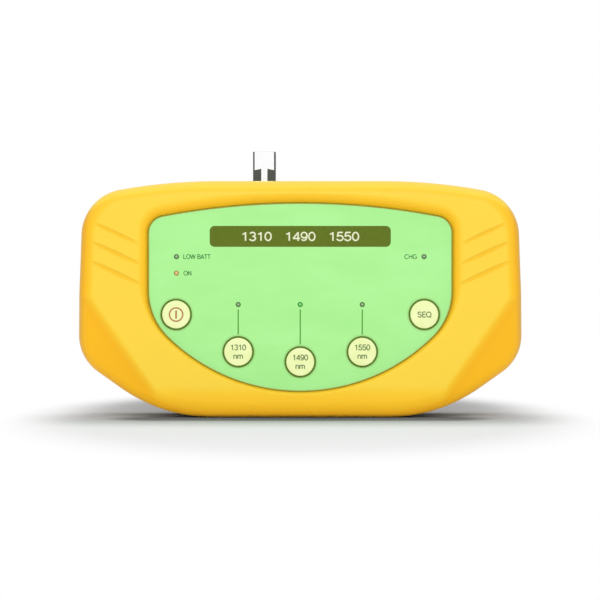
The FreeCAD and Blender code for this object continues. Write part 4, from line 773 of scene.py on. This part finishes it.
# ABS with a printed, lacquered face: smooth and pale yellow-green, in clouds about 4 mm wide, and touched
# shinier in the middle.
key_face, tree, shader, place = new_material("printed_key_face")
touch = add_node(tree, "ShaderNodeAttribute", {"attribute_name": "across"})
clouds = add_node(tree, "ShaderNodeTexNoise", {"Scale": 1 / (4 * MM), "Detail": 2.0}, {"Vector": place})
pale = add_node(tree, "ShaderNodeValToRGB", {"stops": [(0.3, "#E9F6AE"), (0.7, "#F1FABE")]},
                {"Fac": clouds})
worn = add_node(tree, "ShaderNodeMapRange", {"From Max": 0.8, "To Min": 0.34, "To Max": 0.46},
                {"Value": touch.outputs["Fac"]})
skin = add_node(tree, "ShaderNodeTexNoise", {"Scale": 1 / (0.4 * MM), "Detail": 1.0}, {"Vector": place})
soft = add_node(tree, "ShaderNodeBump", {"Strength": 0.12, "Distance": 0.01 * MM}, {"Height": skin})
surface(shader, pale, worn, soft)
# Bare green ABS of the key's edge and flange: a dull olive tone deeper than the face, satin.
key_abs = grained("moulded_olive_abs", "#BACF86", "#B0C57C", rough=0.50, grain_mm=0.6, lift_mm=0.01)
KEY_OUTLINE = [(0, -KEY_TOP, 0), (KEY_INNER, -KEY_TOP, 0)]
for turn in (0, 10, 24, PRINT_END, 64, 90):
    lean = math.radians(turn)
    radius = KEY_RADIUS - KEY_ROUND * (1 - math.sin(lean))
    drop = KEY_ROUND * (1 - math.cos(lean))
    KEY_OUTLINE.append((radius, drop - KEY_TOP, 0 if turn < PRINT_END else 1))
KEY_OUTLINE += [(KEY_RADIUS, -FLANGE_FRONT, 1), (FLANGE_RADIUS, -FLANGE_FRONT, 1),
                (FLANGE_RADIUS, -KEY_BACK, 1), (0, -KEY_BACK, 1)]
# Grey-olive ink of the figures, and the red-brown ink of the power sign.
figure_ink = ink_material("grey_olive_screen_ink", "#748A5C", "#7E9464")
power_ink = ink_material("red_brown_screen_ink", "#B68056", "#C08C60")
for mark, (node, body) in KEYS.items():
    across, up = middle(node)
    cap_mesh = turned_mesh(node + "_cap", KEY_OUTLINE, across, up, KEY_SIDES)
    cap = new_piece(node + "_cap", cap_mesh, body, "key_plastic", key_face, key_abs)
    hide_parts(node)
    used = figure_ink
    if mark == "power":
        used = power_ink
        bar = sheet([(across, up - POWER_REACH), (across, up + POWER_REACH)], [(0, 1)])
        drawing = [grow(rings, sheet([(across, up)]), used, radius=POWER_RADIUS, line_width=POWER_LINE),
                   grow(strokes, bar, used, line_width=POWER_BAR)]
    elif mark == "SEQ":
        drawing = [lettering(mark, FIGURE_HEIGHT, FIGURE_WEIGHT, across, up, used, stretch=1.27)]
    else:
        drawing = [lettering(text, FIGURE_HEIGHT, FIGURE_WEIGHT, across, row, used, stretch=1.18)
                   for text, row in ((mark, up + FIGURE_RISE), ("nm", up - UNIT_DROP))]
    lay_on(node + "_mark", drawing, KEY_TOP, body, "key_plastic", used)

# Case screws
# Four socket-head machine screws that go in from behind, through the counterbores of the rear cover into
# the brass inserts of the front shell, and hold the case shut.
dress(plated_steel, "case_screws")

# Floor
# A sheet of matt white paper under and behind the object, as in a catalogue picture. It takes the object's
# shadow, deepened by painted shade, and turns pure white further away, where the picture shows only
# background. Sizes are in metres.
FLOOR_REACH = 3.0
WIDE_PLACE = (0, 0.09, 0)  # middle of the wide shade
WIDE_REACH = (0.10, 0.14, 1)  # about where it ends, sideways and from front to back
EDGE_PLACE = 0.030  # how far in front of the origin the narrow shade lies
EDGE_HALF = 0.056  # half its length before it fades
EDGE_REACH = (0.045, 0.042, 1.0)  # how it fades from there, sideways and from front to back
WHITE_REACH = (0.118, 0.30, 1)  # about where the paper is pure white, sideways and from front to back
paper, tree, shader, place = new_material("matt_white_paper")
tree.nodes.remove(shader)
route = add_node(tree, "ShaderNodeLightPath")
seen = add_node(tree, "ShaderNodeMath", {"operation": "MAXIMUM"},
                {0: route.outputs["Is Camera Ray"], 1: route.outputs["Is Glossy Ray"]})
# Paper fibre clouds about 8 mm wide, hardly to be seen.
fibre = add_node(tree, "ShaderNodeTexNoise", {"Scale": 1 / (8 * MM), "Detail": 2.0}, {"Vector": place})
white = add_node(tree, "ShaderNodeValToRGB", {"stops": [(0.0, "#EAEAEA"), (1.0, "#EEEEEE")]},
                 {"Fac": fibre})
# Painted shade deepens the shadow on the paper round the object, as the camera and reflections see it: a
# wide soft shade, most of it behind, and a narrow one along the front of the edge that it stands on.
behind = add_node(tree, "ShaderNodeMapping",
                  {"vector_type": "TEXTURE", "Location": WIDE_PLACE, "Scale": WIDE_REACH},
                  {"Vector": place})
round_it = add_node(tree, "ShaderNodeVectorMath", {"operation": "LENGTH"}, {0: behind})
wide = add_node(tree, "ShaderNodeMapRange",
                {"From Min": 0.6, "From Max": 1.15, "To Min": 0.58, "To Max": 1.0,
                 "interpolation_type": "SMOOTHSTEP"}, {"Value": round_it.outputs["Value"]})
before = add_node(tree, "ShaderNodeVectorMath", {"operation": "ADD", 1: (0.0, EDGE_PLACE, 0.0)}, {0: place})
apart = add_node(tree, "ShaderNodeVectorMath", {"operation": "ABSOLUTE"}, {0: before})
clear = add_node(tree, "ShaderNodeVectorMath", {"operation": "SUBTRACT", 1: (EDGE_HALF, 0.0, 0.0)},
                 {0: apart})
outside = add_node(tree, "ShaderNodeVectorMath", {"operation": "MAXIMUM", 1: (0, 0, 0)}, {0: clear})
reach = add_node(tree, "ShaderNodeVectorMath", {"operation": "DIVIDE", 1: EDGE_REACH}, {0: outside})
off_edge = add_node(tree, "ShaderNodeVectorMath", {"operation": "LENGTH"}, {0: reach})
core = add_node(tree, "ShaderNodeMapRange",
                {"From Min": 0.2, "From Max": 0.62, "To Min": 0.24, "To Max": 0.61,
                 "interpolation_type": "SMOOTHSTEP"}, {"Value": off_edge.outputs["Value"]})
tail = add_node(tree, "ShaderNodeMapRange",
                {"From Min": 0.2, "From Max": 1.9, "To Min": 0.0, "To Max": 0.39,
                 "interpolation_type": "SMOOTHSTEP"}, {"Value": off_edge.outputs["Value"]})
narrow = add_node(tree, "ShaderNodeMath", {"operation": "ADD"}, {0: core, 1: tail})
shade = add_node(tree, "ShaderNodeMath", {"operation": "MULTIPLY"}, {0: wide, 1: narrow})
shaded = add_node(tree, "ShaderNodeMix", {"data_type": "RGBA", "blend_type": "MULTIPLY", 0: 1.0},
                  {6: white, 7: shade})
sheet_white = add_node(tree, "ShaderNodeMix", {"data_type": "RGBA", 6: linear("#FBF4EE")},
                       {0: seen, 7: shaded.outputs[2]})
lit = add_node(tree, "ShaderNodeBsdfDiffuse", {}, {"Color": sheet_white.outputs[2]})
blank = add_node(tree, "ShaderNodeEmission", {"Strength": 1.0})
spread = add_node(tree, "ShaderNodeMapping", {"vector_type": "TEXTURE", "Scale": WHITE_REACH},
                  {"Vector": place})
away = add_node(tree, "ShaderNodeVectorMath", {"operation": "LENGTH"}, {0: spread})
fade = add_node(tree, "ShaderNodeMapRange",
                {"From Min": 0.72, "From Max": 1.05, "interpolation_type": "SMOOTHSTEP"},
                {"Value": away.outputs["Value"]})
bare = add_node(tree, "ShaderNodeMath", {"operation": "MULTIPLY"}, {0: fade, 1: seen})
mixed = add_node(tree, "ShaderNodeMixShader", {}, {0: bare, 1: lit, 2: blank})
link(mixed, tree.nodes["Material Output"].inputs["Surface"])
floor_mesh = bpy.data.meshes.new("paper_floor")
floor_corners = [(x * FLOOR_REACH, y * FLOOR_REACH, 0) for x, y in ((-1, -1), (1, -1), (1, 1), (-1, 1))]
floor_mesh.from_pydata(floor_corners, [], [(0, 1, 2, 3)])
floor_mesh.materials.append(paper)
floor = bpy.data.objects.new("paper_floor", floor_mesh)
bpy.context.scene.collection.objects.link(floor)

# Light and camera
# Plain studio light: an even room, a wide soft box above and a little behind that lays the shadow in front,
# and a soft box above the camera for the face. The camera looks level at the front from about a metre away.
ROOM_LEVEL = 0.72
world = bpy.data.worlds.new("studio_room")
bpy.context.scene.world = world
world.use_nodes = True
tree = world.node_tree
room = tree.nodes["Background"]
route = add_node(tree, "ShaderNodeLightPath")
seen = add_node(tree, "ShaderNodeMath", {"operation": "MAXIMUM"},
                {0: route.outputs["Is Camera Ray"], 1: route.outputs["Is Glossy Ray"]})
through = add_node(tree, "ShaderNodeMath", {"operation": "MAXIMUM"},
                   {0: seen, 1: route.outputs["Is Transmission Ray"]})
level = add_node(tree, "ShaderNodeMapRange", {"To Min": ROOM_LEVEL, "To Max": 1.0}, {"Value": through})
link(level, room.inputs["Strength"])
room.inputs["Color"].default_value = linear("#FFFFFF")


def soft_box(name, at, aim, width, height, power):
    """A soft box at a place in metres, turned towards another."""
    lamp = bpy.data.lights.new(name, "AREA")
    lamp.shape = "RECTANGLE"
    lamp.size = width
    lamp.size_y = height
    lamp.energy = power
    box = bpy.data.objects.new(name, lamp)
    bpy.context.scene.collection.objects.link(box)
    box.location = at
    box.rotation_euler = (Vector(aim) - Vector(at)).to_track_quat("-Z", "Y").to_euler()


soft_box("overhead_box", at=(0.0, 0.10, 0.90), aim=(0.0, 0.0, 0.0), width=0.8, height=0.8, power=1.0)
soft_box("face_box", at=(0.0, -0.85, 0.56), aim=(0.0, 0.0, 0.05), width=0.7, height=0.4, power=2.9)

PHOTO_PIXELS = 600  # width of the photograph
PIXELS_PER_MM = 2.4528  # its scale at one metre from the lens
SENSOR_MM = 36.0
CAMERA_PLACE = (-0.0001, -1.0175, 0.0478)
view = bpy.data.cameras.new("camera")
view.sensor_width = SENSOR_MM
view.lens = SENSOR_MM * PIXELS_PER_MM * 1000 / PHOTO_PIXELS
camera = bpy.data.objects.new("camera", view)
bpy.context.scene.collection.objects.link(camera)
camera.location = CAMERA_PLACE
camera.rotation_euler = (math.radians(90), 0, 0)
bpy.context.scene.camera = camera
bpy.context.scene.view_settings.view_transform = "Standard"
